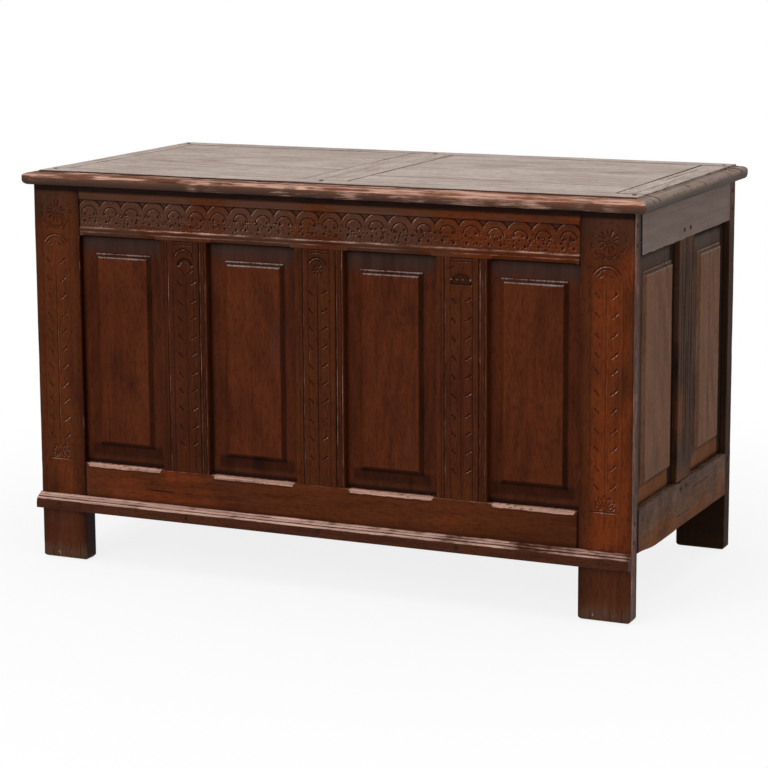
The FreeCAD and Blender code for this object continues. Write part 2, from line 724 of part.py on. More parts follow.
peg_drop = "lid_thickness - peg_short"
upright_turn = ((0, 0, 1), 0)
lid_pegs = [cylinder("lid_peg", (x, y, f"lid_top - ({peg_drop})"), "peg_radius",
                     f"{peg_drop} + peg_proud / 2", upright_turn) for x, y in lid_peg_places]
lid_peg_holes = fused("lid_peg_holes", [
    cylinder("lid_peg_hole", (x, y, f"lid_top - ({peg_drop}) - peg_play"), "peg_radius + peg_play",
             f"{peg_drop} + peg_proud + peg_play", upright_turn) for x, y in lid_peg_places])

strap_nail_places = [(hinge_x(sign), f"hinge_axis_y - strap_nail_start - {step} * strap_nail_pitch")
                     for sign in (-1, 1) for step in range(3)]
strap_nails = [nail("strap_nail", (x, y, "body_height"), upright_turn, ("z", "-"))
               for x, y in strap_nail_places]
strap_nail_holes = fused("strap_nail_holes", [
    cylinder("strap_nail_hole", (x, y, "body_height - 1"), "nail_radius + peg_play",
             "nail_length + 1 + peg_play", upright_turn) for x, y in strap_nail_places])

for label, pieces in upright_pieces.items():
    keep(cut(label, fused(label + "_tenoned", pieces), [lid_grooves, lid_peg_holes]))

full_x = ("-lid_half_width - 1", "lid_half_width + 1")
front_span = block("lid_front_span", (full_x, ("lid_front - 1", "lid_front_joint"), lid_height))
rear_span = block("lid_rear_span", (full_x, ("lid_rear_joint", "half_depth + 1"), lid_height))
keep(cut("lid_front_rail", common("lid_front_core", lid_blank, front_span),
         [lid_grooves, lid_peg_holes] + lid_mortises))
keep(cut("lid_rear_rail", common("lid_rear_core", lid_blank, rear_span),
         [lid_grooves, lid_peg_holes, strap_nail_holes] + lid_mortises + strap_housing(-1) + strap_housing(1)))


def lid_board(label, x, y, tongues):
    """A board flush with the lid's top; tongues says which Y ends have a tongue."""
    body = block(label + "_body", (x, y, ("body_height + strap_thickness", "lid_top")))
    y_low = f"{y[0]} - ({tongue_reach})" if "front" in tongues else y[0]
    y_high = f"{y[1]} + ({tongue_reach})" if "rear" in tongues else y[1]
    tongue = block(label + "_tongue", ((f"{x[0]} - ({tongue_reach})", f"{x[1]} + ({tongue_reach})"),
                                       (y_low, y_high), ("tongue_bottom", "tongue_top")))
    keep(cut(label, fused(label + "_tongued", [body, tongue]), [strap_nail_holes]))


def inset(pair, low_gap=True, high_gap=True):
    return (f"{pair[0]} + lid_board_gap / 2" if low_gap else pair[0],
            f"{pair[1]} - lid_board_gap / 2" if high_gap else pair[1])


lid_board("lid_board_left", inset(lid_bays["left"]), inset(lid_y), ("front", "rear"))
lid_board("lid_board_right_front", inset(lid_bays["right"]), inset(("lid_front_joint", "lid_split")), ("front",))
lid_board("lid_board_right_rear", inset(lid_bays["right"]), inset(("lid_split", "lid_rear_joint")), ("rear",))
group("lid_pegs", lid_pegs)

# ---------------------------------------------------------------- ironwork
group("hinge_pins", [hinge("left", -1), hinge("right", 1)])
nailed("hinge_strap_left", [strap_nail_holes])
nailed("hinge_strap_right", [strap_nail_holes])
group("strap_nails", strap_nails)

leaf_nail_places = [(f"{hinge_x(sign)} + ({step} * leaf_nail_spread / 2)",
                     f"body_height - leaf_nail_drop - {row} * leaf_nail_rise")
                    for sign in (-1, 1) for step in (-1, 1) for row in (0, 1)]
leaf_nails = [nail("leaf_nail", (x, "back_face", z), ((1, 0, 0), 90), ("y", "+"))
              for x, z in leaf_nail_places]
leaf_nail_holes = fused("leaf_nail_holes", [
    cylinder("leaf_nail_hole", (x, "back_face + 1", z), "nail_radius + peg_play",
             "nail_length + 1 + peg_play", ((1, 0, 0), 90)) for x, z in leaf_nail_places])
for name in ("hinge_leaf_left", "hinge_leaf_right", "back_top_rail"):
    nailed(name, [leaf_nail_holes])
group("leaf_nails", leaf_nails)

# ---------------------------------------------------------------- checks and export
doc.recompute()
faults = [thing.Label for thing in doc.Objects if {"Invalid", "Error"} & set(thing.State)]
faults += [thing.Label for thing in nodes if thing.Shape.isNull() or not thing.Shape.isValid()]
if faults:
    raise RuntimeError("failed objects: " + ", ".join(faults))

os.makedirs("parts", exist_ok=True)
for thing in nodes:
    thing.Shape.exportStep(f"parts/{thing.Label}.step")
print(len(nodes), "sub-parts written")
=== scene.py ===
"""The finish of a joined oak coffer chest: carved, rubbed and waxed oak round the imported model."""

import math

import bpy
import numpy as np
from mathutils import Matrix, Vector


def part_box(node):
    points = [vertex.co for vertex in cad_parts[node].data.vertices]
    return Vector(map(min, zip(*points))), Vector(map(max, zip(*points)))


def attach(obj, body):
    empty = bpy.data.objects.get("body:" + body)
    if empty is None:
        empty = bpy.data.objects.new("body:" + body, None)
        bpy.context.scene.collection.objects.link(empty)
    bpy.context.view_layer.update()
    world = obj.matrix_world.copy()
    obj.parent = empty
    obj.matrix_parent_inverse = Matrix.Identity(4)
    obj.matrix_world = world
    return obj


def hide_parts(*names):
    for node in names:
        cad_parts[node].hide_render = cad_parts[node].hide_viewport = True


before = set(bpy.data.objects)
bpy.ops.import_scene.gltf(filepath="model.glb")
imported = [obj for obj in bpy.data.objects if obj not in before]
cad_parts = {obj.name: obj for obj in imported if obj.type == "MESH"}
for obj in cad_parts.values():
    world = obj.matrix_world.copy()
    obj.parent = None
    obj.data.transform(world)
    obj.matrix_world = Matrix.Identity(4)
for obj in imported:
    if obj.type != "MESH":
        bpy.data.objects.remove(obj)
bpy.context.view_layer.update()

MM = 0.001
QUARTER = math.pi / 2

# ---------------------------------------------------------------- places, all read from the frame


def mm(*lengths):
    """Lengths in millimetres, turned into metres."""
    return tuple(length * MM for length in lengths)


def span(node, axis):
    """Lowest and highest place of a node along one axis."""
    low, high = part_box(node)
    return low[axis], high[axis]


LEFT, FRAME_LEFT = span("front_left_stile", 0)
FRAME_RIGHT, RIGHT = span("front_right_stile", 0)
FRONT, FRONT_INNER = span("front_left_stile", 1)
BACK_INNER = span("rear_left_stile", 1)[0]
FLOOR_Z, BODY_TOP = span("front_left_stile", 2)
TOP_RAIL_LOW = span("front_top_rail", 2)[0]
BOTTOM_RAIL_LOW, BOTTOM_RAIL_TOP = span("front_bottom_rail", 2)
SIDE_TOP_LOW = span("right_top_rail", 2)[0]
SIDE_BOTTOM_LOW, SIDE_BOTTOM_TOP = span("right_bottom_rail", 2)
SIDE_MUNTIN = span("right_muntin", 1)
MUNTINS = {name: span("front_muntin_" + name, 0) for name in ("left", "centre", "right")}
OPENINGS = [(FRAME_LEFT, MUNTINS["left"][0]), (MUNTINS["left"][1], MUNTINS["centre"][0]),
            (MUNTINS["centre"][1], MUNTINS["right"][0]), (MUNTINS["right"][1], FRAME_RIGHT)]
MOULDING_LEFT, MOULDING_RIGHT = span("base_moulding", 0)
MOULDING_NOSE = span("base_moulding", 1)[0]
MOULDING_LOW, MOULDING_TOP = span("base_moulding", 2)
LID_LEFT, LID_RIGHT = span("lid_front_rail", 0)
LID_FRONT, LID_FRONT_JOINT = span("lid_front_rail", 1)
LID_REAR_JOINT, LID_REAR = span("lid_rear_rail", 1)
LID_UNDER, LID_TOP = span("lid_front_rail", 2)
LID_LEFT_JOINT = span("lid_left_stile", 0)[1]
LID_RIGHT_JOINT = span("lid_right_stile", 0)[0]
LID_MUNTIN = span("lid_muntin", 0)
LID_SPLIT = span("lid_board_right_rear", 1)[0]

# Thicknesses in millimetres, from which the walls of a piece are ringed.
RAIL_THICK, SIDE_RAIL_THICK, BOARD_THICK = 30, 26, 25
STILE_THICK, LID_THICK = (FRONT_INNER - FRONT) / MM, (LID_TOP - LID_UNDER) / MM

# Each view: the axis across, the axis up, the axis into the piece, the sign of that way in, and the level
# of the face along it.
VIEWS = {
    "front": (0, 2, 1, 1, FRONT),
    "right": (1, 2, 0, -1, RIGHT),
    "left": (1, 2, 0, 1, LEFT),
    "top": (0, 1, 2, -1, LID_TOP),
}

# ---------------------------------------------------------------- numbers that vary over a surface

LATTICE = 64


def lumps(across, up, size, seed):
    """Smooth noise from -1 to 1: random numbers on a square lattice, blended by a cubic between its knots."""
    table = np.random.default_rng(abs(seed)).uniform(-1, 1, (LATTICE, LATTICE))
    a, b = across / size, up / size
    i, j = np.floor(a).astype(int), np.floor(b).astype(int)
    s, t = a - i, b - j
    s, t = s * s * (3 - 2 * s), t * t * (3 - 2 * t)
    i, j, after_i, after_j = i % LATTICE, j % LATTICE, (i + 1) % LATTICE, (j + 1) % LATTICE
    low = table[i, j] * (1 - s) + table[after_i, j] * s
    high = table[i, after_j] * (1 - s) + table[after_i, after_j] * s
    return low * (1 - t) + high * t


def rough(across, up, size, seed):
    """Three octaves of lumps, each half as large and half as strong as the last, from -1 to 1."""
    return sum(lumps(across, up, size / 2 ** k, seed + k) / 2 ** k for k in range(3)) / 1.75


def ramp(value, low, high):
    """0 below low, 1 above high, and a smooth cubic between them."""
    t = np.clip((value - low) / (high - low), 0, 1)
    return t * t * (3 - 2 * t)


def ramp_mm(value, low, high):
    """A ramp between two lengths in millimetres."""
    return ramp(value, low * MM, high * MM)


def ridge(distance, width):
    """A bell curve: 1 at no distance, and 0.37 at the given width in millimetres."""
    return np.exp(-(distance / (width * MM)) ** 2)


def round_cut(distance, width):
    """The section of a gouge cut of a width in millimetres: 1 on its middle line, a parabola down to 0."""
    return np.clip(1 - (2 * distance / (width * MM)) ** 2, 0, 1)


def softened(values, reach):
    """The running mean of a grid over reach rows and columns each way, with its border repeated."""
    for axis in (0, 1):
        pad = [(0, 0), (0, 0)]
        pad[axis] = (reach + 1, reach)
        total = np.cumsum(np.pad(values, pad, mode="edge"), axis=axis)
        count = values.shape[axis]
        last = np.take(total, np.arange(2 * reach + 1, 2 * reach + 1 + count), axis=axis)
        first = np.take(total, np.arange(0, count), axis=axis)
        values = (last - first) / (2 * reach + 1)
    return values


def arris(distance, radius):
    """How far a rounded edge has fallen at a distance in from it: a quarter circle of the given radius."""
    inside = np.clip(radius - distance, 0, radius)
    return radius - np.sqrt(np.maximum(radius ** 2 - inside ** 2, 0))


def drawn_in(core_a, core_b, a, b, radius):
    """Places a and b drawn in to a circle of a radius round a core point, where they lie outside it."""
    away_a, away_b = a - core_a, b - core_b
    reach = np.hypot(away_a, away_b)
    share = np.where(reach > radius, radius / np.maximum(reach, 1e-9), 1)
    return core_a + away_a * share, core_b + away_b * share


EDGE_STEPS = np.array(mm(0, 0.15, 0.5, 1.1, 1.9, 2.9))
FINEST = 0.05 * MM


def lines(low, high, step, low_steps=EDGE_STEPS, high_steps=EDGE_STEPS, extra=()):
    """Grid places from low to high: given distances from each end, an even step between, and extra ones."""
    first, last = low + low_steps[-1], high - high_steps[-1]
    inner = np.linspace(first, last, max(2, round((last - first) / step) + 1))
    places = np.concatenate([low + low_steps, inner, high - high_steps, np.asarray(extra, float)])
    places = np.unique(np.round(places, 6))
    return places[np.concatenate([[True], np.diff(places) > FINEST])]


def near(places, reach):
    """Thirteen grid places round each crack, out to a reach in millimetres, so that the grid follows it."""
    return [spot for place in places for spot in np.linspace(place - reach * MM, place + reach * MM, 13)]


# ---------------------------------------------------------------- the relief of one face


class Face:
    """A piece's face as a grid of places across and up it, with the depth of every point behind the face.

    Five marks go with it into the finish: the worn mark is wood rubbed pale, and also painted highlights
    where the light catches lips, bevels and rounds; the dirt mark is wax and dust, and also painted shade
    under the lid, in hollows and in recesses; tint is redder wood; shade is how light the wood is from 0 to
    1, its own tone and also painted shade on faces turned away from the light; and dust is the grey of dry,
    greasy wood.
    Cuts wait in carving, where the deepest counts, until sink or settle puts them into the depth. They
    are placed and sized in millimetres, from the stem of the vine across and from the floor up.
    """

    def __init__(self, view, across, up, stem=0.0):
        self.view = view
        self.stem = stem
        self.across, self.up = np.meshgrid(across, up, indexing="ij")
        blank = np.zeros((6,) + self.across.shape)
        self.depth, self.carving, self.wear_and_highlight, self.dirt_and_shade, self.tint, self.dust = blank
        self.shade = np.ones_like(self.across)

    def noise(self, size, seed, a=1.0, u=1.0):
        """Rough noise of a size in millimetres, with places across and up the face scaled by a and u."""
        return rough(self.across * a, self.up * u, size * MM, seed)

    def planed(self, amount, seed):
        """A hand-planed surface: two sizes of shallow waves, all below the true face."""
        waves = 0.7 * lumps(self.across, self.up, 70 * MM, seed) + 0.3 * self.noise(14, seed + 5)
        self.depth += amount * MM * (0.5 + 0.5 * waves)

    def rub_and_highlight(self, amount):
        """Raises the mark of rubbed pale wood and painted highlight, where it isn't higher already."""
        self.wear_and_highlight = np.maximum(self.wear_and_highlight, amount)

    def soil_and_shade(self, amount):
        """Darkens with grease, dust and painted shade what isn't darker already."""
        self.dirt_and_shade = np.maximum(self.dirt_and_shade, amount)

    def grey(self, amount):
        """Lays dust on what isn't dustier already."""
        self.dust = np.maximum(self.dust, amount)

    def cut(self, depth):
        """Adds a cut to the carving."""
        self.carving = np.maximum(self.carving, depth)

    def away(self, place):
        """How far every point is from a place, across and up."""
        return self.across - self.stem - place[0] * MM, self.up - place[1] * MM

    def stroke(self, start, end, width, depth):
        """A gouge cut from start to end, fading towards both ends."""
        a, b = self.away(start)
        run = mm(end[0] - start[0], end[1] - start[1])
        length = math.hypot(*run)
        along = (a * run[0] + b * run[1]) / length ** 2
        aside = (b * run[0] - a * run[1]) / length
        fade = np.clip(1 - (2 * np.clip(along, 0, 1) - 1) ** 4, 0, 1)
        inside = (along >= 0) & (along <= 1)
        self.cut(inside * depth * MM * fade * round_cut(aside, width))

    def arc(self, centre, radius, width, depth, start, end):
        """A gouge cut round part of a circle, between two angles in degrees."""
        a, b = self.away(centre)
        turn = (np.degrees(np.arctan2(b, a)) % 360 - start) % 360
        whole = end - start
        fade = np.clip(np.minimum(turn, whole - turn) / 8, 0, 1) * (turn <= whole)
        self.cut(depth * MM * fade * round_cut(np.hypot(a, b) - radius * MM, width))

    def punch(self, centre, width, height, depth):
        """A dent with an elliptical rim and a round floor."""
        a, b = self.away(centre)
        size = (2 * a / (width * MM)) ** 2 + (2 * b / (height * MM)) ** 2
        self.cut(depth * MM * np.clip(1 - size, 0, 1) ** 0.7)

    def split(self, start, end, place, width, depth, seed, upright=False):
        """A crack along the grain: a narrow groove that wanders a little and closes towards its ends. Its
        start, end and place are in the chest's frame, and its width and depth in millimetres."""
        along, aside = (self.up, self.across) if upright else (self.across, self.up)
        wander = 1.2 * MM * rough(along, 0 * along, 60 * MM, seed)
        closing = 0.25 * (end - start)
        open_part = ramp(along, start, start + closing) * (1 - ramp(along, end - closing, end))
        ragged = 0.75 + 0.25 * rough(along, aside, 9 * MM, seed + 3)
        away = np.abs(aside - place - wander) / (width * MM * np.maximum(open_part, 0.05))
        groove = np.clip(1 - away, 0, 1) * open_part * ragged
        self.cut(depth * MM * groove)
        self.soil_and_shade(np.clip(groove * 2.5, 0, 1))

    def sink(self):
        """Puts the carving into the depth of the face."""
        self.depth = self.depth + self.carving
        self.carving = np.zeros_like(self.depth)

    def settle(self, lip_highlight=0.56, grime_and_shade=0.95):
        """Sinks the carving and marks it. Where the relief lies below its running mean it is darkened, partly
        with wax and dust in the hollows and partly with painted shade, and the lower right lip of every cut,
        where the relief climbs again and faces the light, gets a painted highlight."""
        self.sink()
        hollow = self.depth - softened(self.depth, 3)
        lip = np.zeros_like(self.depth)
        lip[1:-1, 1:-1] = self.depth[:-2, 2:] - self.depth[1:-1, 1:-1]
        lip = np.clip(lip / (0.7 * MM) - 0.25, 0, 1)
        self.soil_and_shade(grime_and_shade * np.clip(hollow / (0.42 * MM), 0, 1) * (1 - 0.7 * lip))
        # A painted highlight on the lip of each cut that faces the light.
        self.rub_and_highlight(lip * lip_highlight)

    def edges(self):
        """The distance in from each edge of the face: low across, high across, low up and high up."""
        return (self.across - self.across.min(), self.across.max() - self.across,
                self.up - self.up.min(), self.up.max() - self.up)

    def ease(self, radii, seed, rub_and_highlight=0.6):
        """Rounds the four edges of the face, in the order of edges, each with its radius in millimetres,
        which swells and shrinks along the edge; rub says how pale the rounded edges are, rubbed wear together
        with a painted sheen of the light on them."""
        along = (self.up, self.up, self.across, self.across)
        fall = 0
        for index, (distance, run, radius) in enumerate(zip(self.edges(), along, radii)):
            if radius <= 0:
                continue
            own = radius * MM * (1 + 0.35 * rough(run, 0 * run + index, 35 * MM, seed + 11 * index))
            fall = np.maximum(fall, arris(distance, own))
            self.rub_and_highlight(rub_and_highlight * ridge(distance, 1.6 * radius))
        self.depth = self.depth + fall


def border(grid):
    """The values round the border of a grid, anticlockwise from its first corner."""
    return np.concatenate([grid[:, 0], grid[-1, 1:], grid[-2::-1, -1], grid[0, -2:0:-1]])


def placed(view, across, up, depth):
    """Points in the chest's frame from places on a face and their depth behind it."""
    a, b, c, sign, level = VIEWS[view]
    points = np.zeros(across.shape + (3,))
    points[..., a] = across
    points[..., b] = up
    points[..., c] = level + sign * depth
    return points


def cells(grid):
    """Four-sided faces between the neighbours of a grid of point numbers."""
    return np.stack([grid[:-1, :-1], grid[1:, :-1], grid[1:, 1:], grid[:-1, 1:]], axis=-1).reshape(-1, 4)


def finished(node, points, quads, fans, marks, grain, slot, body="carcase", flat_fans=True):
    """Puts a closed mesh into the scene with its finish marks, its grain places, its body and its slot."""
    mesh = bpy.data.meshes.new(node + "_oak")
    mesh.vertices.add(len(points))
    mesh.vertices.foreach_set("co", np.asarray(points, np.float32).ravel())
    corners = np.concatenate([quads.ravel(), fans.ravel()]).astype(np.int32)
    starts = np.concatenate([np.arange(len(quads)) * 4, len(quads) * 4 + np.arange(len(fans)) * 3])
    mesh.loops.add(len(corners))
    mesh.loops.foreach_set("vertex_index", corners)
    mesh.polygons.add(len(starts))
    mesh.polygons.foreach_set("loop_start", starts.astype(np.int32))
    mesh.update(calc_edges=True)
    mesh.shade_smooth()
    sharp = mesh.attributes.get("sharp_face") or mesh.attributes.new("sharp_face", "BOOLEAN", "FACE")
    sharp.data.foreach_set("value", np.repeat([False, flat_fans], [len(quads), len(fans)]))
    for label, kind, key, values in (("wood_marks", "FLOAT_COLOR", "color", marks[:, :4]),
                                     ("wood_dust", "FLOAT", "value", marks[:, 4]),
                                     ("grain_place", "FLOAT_VECTOR", "vector", grain)):
        carried = mesh.attributes.new(label, kind, "POINT")
        carried.data.foreach_set(key, np.asarray(values, np.float32).ravel())
    mesh.materials.append(OAK[slot])
    piece = bpy.data.objects.new(node + "_oak", mesh)
    bpy.context.scene.collection.objects.link(piece)
    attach(piece, body)
    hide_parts(node)


def build(face, node, slot, upright, rings, seed, body="carcase", bend=None, worn_and_lit_end=None):
    """The closed piece behind a face: the relief grid, walls that go down from its border through rings, and
    a flat back closed by a fan. A ring is (depth, inset, wear and highlight, shade), in millimetres, and its
    shade, which may be left out, scales the shade of the rim on that ring. upright says that the grain runs
    up the face. bend moves all points at last. worn_and_lit_end keeps the wear and highlight of the rings to
    the wall at one end across, 0 or 1, and paints shade on the other walls."""
    index = np.arange(face.across.size).reshape(face.across.shape)
    quads = [cells(index)]
    places = (face.across, face.up, face.depth)
    fields = (face.wear_and_highlight, face.dirt_and_shade, face.tint, face.shade, face.dust)
    layers = [[grid.ravel() for grid in places]]
    marks = [np.column_stack([field.ravel() for field in fields])]
    rim_a, rim_u, rim_d = (border(grid) for grid in places)
    rim_wear_and_highlight, rim_dirt_and_shade, rim_tint, rim_shade, rim_dust = (border(field) for field in fields)
    low_a, high_a, low_u, high_u = rim_a.min(), rim_a.max(), rim_u.min(), rim_u.max()
    count = len(rim_a)
    ring, start, step = border(index), index.size, np.arange(count)
    for level, inset, wear_and_highlight, *lightness in rings:
        insets = mm(*(inset if isinstance(inset, tuple) else (inset,) * 4))
        across = np.clip(rim_a, low_a + insets[0], high_a - insets[1])
        up = np.clip(rim_u, low_u + insets[2], high_u - insets[3])
        layers.append((across, up, np.maximum(rim_d, level * MM)))
        shade = rim_shade * (lightness[0] if lightness else 1)
        # The walls away from the chosen end get painted shade, down to 0.35 of the rim's.
        if worn_and_lit_end is not None:
            on_wall = np.isclose(rim_a, (low_a, high_a)[worn_and_lit_end])
            wear_and_highlight, shade = wear_and_highlight * on_wall, shade * np.where(on_wall, 1, 0.35)
        wear_and_highlight = np.maximum(rim_wear_and_highlight * 0.5, wear_and_highlight)
        marks.append(np.column_stack([wear_and_highlight, 0 * rim_dirt_and_shade, rim_tint, shade, rim_dust]))
        lower = start + step
        quads.append(np.column_stack([np.roll(ring, -1), ring, lower, np.roll(lower, -1)]))
        ring = lower
        start += count
    middle = ((low_a + high_a) / 2, (low_u + high_u) / 2, rings[-1][0] * MM)
    layers.append([np.array([value]) for value in middle])
    marks.append(np.array([[0, 0, 0, 1, 0]]))
    quads = np.vstack(quads)
    fan = np.column_stack([np.roll(ring, -1), ring, np.full(count, start)])
    across, up, depth = (np.concatenate(part) for part in zip(*layers))
    points = placed(face.view, across, up, depth)
    if face.view == "left":
        quads, fan = quads[:, ::-1], fan[:, ::-1]
    shift = np.random.default_rng(seed).uniform(-3, 3, 3)
    side, run = (across, up) if upright else (up, across)
    side = side - (side.min() + side.max()) / 2 + 0.1 * shift[0] * (high_a - low_a)
    grain = np.column_stack([side, run + shift[1], depth + 0.01 * shift[2]])
    if bend:
        points = bend(points)
    finished(node, points, quads, fan, np.vstack(marks), grain, slot, body)


# ---------------------------------------------------------------- shader groups and materials


def colour(shades, share=1.0):
    """A colour for a socket: red, green and blue, all times a share."""
    return tuple(share * value for value in shades) + (1.0,)


WHITE = colour((1, 1, 1))


def add(tree, kind, links=(), **settings):
    """A shader node with its settings; links gives each input a value or another node's output."""
    made = tree.nodes.new("ShaderNode" + kind)
    for key, value in settings.items():
        setattr(made, key, value)
    for socket, value in dict(links).items():
        if isinstance(value, bpy.types.NodeSocket):
            tree.links.new(value, made.inputs[socket])
        else:
            made.inputs[socket].default_value = value
    return made


def calc(tree, operation, first, second=0.0, third=0.0, clamp=False):
    """One step of arithmetic on numbers."""
    return add(tree, "Math", {0: first, 1: second, 2: third}, operation=operation, use_clamp=clamp).outputs[0]


def between(tree, value, low, high, start=0.0, end=1.0):
    """start where value is low, end where it is high, and a smooth blend between them."""
    links = {"Value": value, "From Min": low, "From Max": high, "To Min": start, "To Max": end}
    return add(tree, "MapRange", links, interpolation_type="SMOOTHSTEP").outputs[0]


def blended(tree, factor, first, second):
    """Two colours mixed by a factor."""
    return add(tree, "Mix", {0: factor, 6: first, 7: second}, data_type="RGBA", blend_type="MIX").outputs[2]


def noise(tree, place, scale, detail=2.0, roughness=0.5):
    """Noise from 0 to 1; scale is one number, or three that stretch it."""
    if isinstance(scale, tuple):
        place = add(tree, "VectorMath", {0: place, 1: scale}, operation="MULTIPLY").outputs[0]
        scale = 1.0
    links = {"Vector": place, "Scale": scale, "Detail": detail, "Roughness": roughness}
    return add(tree, "TexNoise", links).outputs[0]


def bumped(tree, height, strength, distance):
    """A bump from a height, for a shader's normal."""
    links = {"Strength": strength, "Distance": distance, "Height": height}
    return add(tree, "Bump", links).outputs[0]


def rays_seen(tree):
    """1 for a ray that the camera, a mirror or a glass sends out, and 0 for one that only carries light."""
    rays = add(tree, "LightPath").outputs
    seen = calc(tree, "MAXIMUM", rays["Is Camera Ray"], rays["Is Glossy Ray"])
    return calc(tree, "MAXIMUM", seen, rays["Is Transmission Ray"])


def shader_group(name, inputs, outputs):
    """An empty shader node group; it takes a place and named numbers, and gives named numbers."""
    tree = bpy.data.node_groups.new(name, "ShaderNodeTree")
    tree.interface.new_socket("Place", in_out="INPUT", socket_type="NodeSocketVector")
    for label in inputs:
        tree.interface.new_socket(label, in_out="INPUT", socket_type="NodeSocketFloat")
    for label in outputs:
        tree.interface.new_socket(label, in_out="OUTPUT", socket_type="NodeSocketFloat")
    return tree, tree.nodes.new("NodeGroupInput").outputs, tree.nodes.new("NodeGroupOutput").inputs


def oak_figure_group():
    """Oak's figure at a grain place (x across the grain, y along it, z into the board, metres).

    Rings: sine of the distance from a leaning pith line, bent by slow noise. Streaks and fibres: noise
    stretched along the grain. Pores: the peaks of a still finer stretched noise. Cloud: slow patches.
    Mottle: specks a few millimetres wide.
    """
    tree, given, result = shader_group("oak_figure", ("Rings per metre", "Lean", "Pith depth"),
                                       ("Rings", "Streaks", "Fibres", "Pores", "Cloud", "Mottle"))
    place = given["Place"]
    axes = add(tree, "SeparateXYZ", {0: place}).outputs
    slow = noise(tree, place, (9, 1.6, 9), 3.0)
    across = calc(tree, "MULTIPLY_ADD", calc(tree, "SUBTRACT", slow, 0.5), 0.05, axes[0])
    deep = calc(tree, "MULTIPLY_ADD", axes[1], given["Lean"], calc(tree, "ADD", axes[2], given["Pith depth"]))
    squares = [calc(tree, "MULTIPLY", side, side) for side in (across, deep)]
    radius = calc(tree, "SQRT", calc(tree, "ADD", *squares))
    turns = calc(tree, "MULTIPLY", calc(tree, "MULTIPLY", radius, given["Rings per metre"]), 2 * math.pi)
    tree.links.new(calc(tree, "MULTIPLY_ADD", calc(tree, "SINE", turns), 0.5, 0.5), result["Rings"])
    for label, scale, detail, roughness, low, high in (
            ("Streaks", (95, 2.4, 95), 3.0, 0.6, 0.3, 0.7), ("Fibres", (520, 9, 520), 2.0, 0.6, 0.28, 0.72),
            ("Pores", (1500, 70, 1500), 1.0, 0.5, 0.6, 0.72), ("Cloud", (11, 4, 11), 3.0, 0.5, 0.3, 0.7),
            ("Mottle", (240, 60, 240), 4.0, 0.7, 0.42, 0.72)):
        grains = noise(tree, place, scale, detail, roughness)
        tree.links.new(between(tree, grains, low, high), result[label])
    return tree


def oak_marks_group():
    """Breaks up the marks with noise, so that none has a clean outline: wear with painted highlight, grease
    with painted shade, tint and dust.
    """
    tree, given, result = shader_group("oak_marks", ("Wear and highlight", "Dirt and shade", "Tint", "Dust"),
                                       ("Bare and highlight", "Grime and shade", "Red", "Grey"))
    place = given["Place"]
    fine = calc(tree, "SUBTRACT", noise(tree, place, (260, 32, 260), 4.0, 0.65), 0.5)
    broad = calc(tree, "SUBTRACT", noise(tree, place, (34, 12, 34), 3.0), 0.5)
    both = calc(tree, "MULTIPLY_ADD", broad, 0.6, fine)
    for mark, label, noises, share, low, high, end in (("Wear and highlight", "Bare and highlight", both, 1.0, 0.3, 0.85, 0.3),
                                                       ("Tint", "Red", broad, 0.7, 0.15, 0.85, 0.2),
                                                       ("Dust", "Grey", both, 0.6, 0.1, 0.9, 0.2)):
        broken = calc(tree, "MULTIPLY_ADD", noises, share, given[mark])
        marked = between(tree, given[mark], 0.02, end)
        tree.links.new(calc(tree, "MULTIPLY", between(tree, broken, low, high), marked), result[label])
    dirt_and_shade = calc(tree, "MULTIPLY", given["Dirt and shade"], calc(tree, "MULTIPLY_ADD", fine, 0.8, 0.95), clamp=True)
    tree.links.new(dirt_and_shade, result["Grime and shade"])
    return tree


FIGURE = oak_figure_group()
OAK_MARKS = oak_marks_group()
TREE_SHAPE = {"Rings per metre": 70.0, "Lean": 0.10, "Pith depth": 0.05}


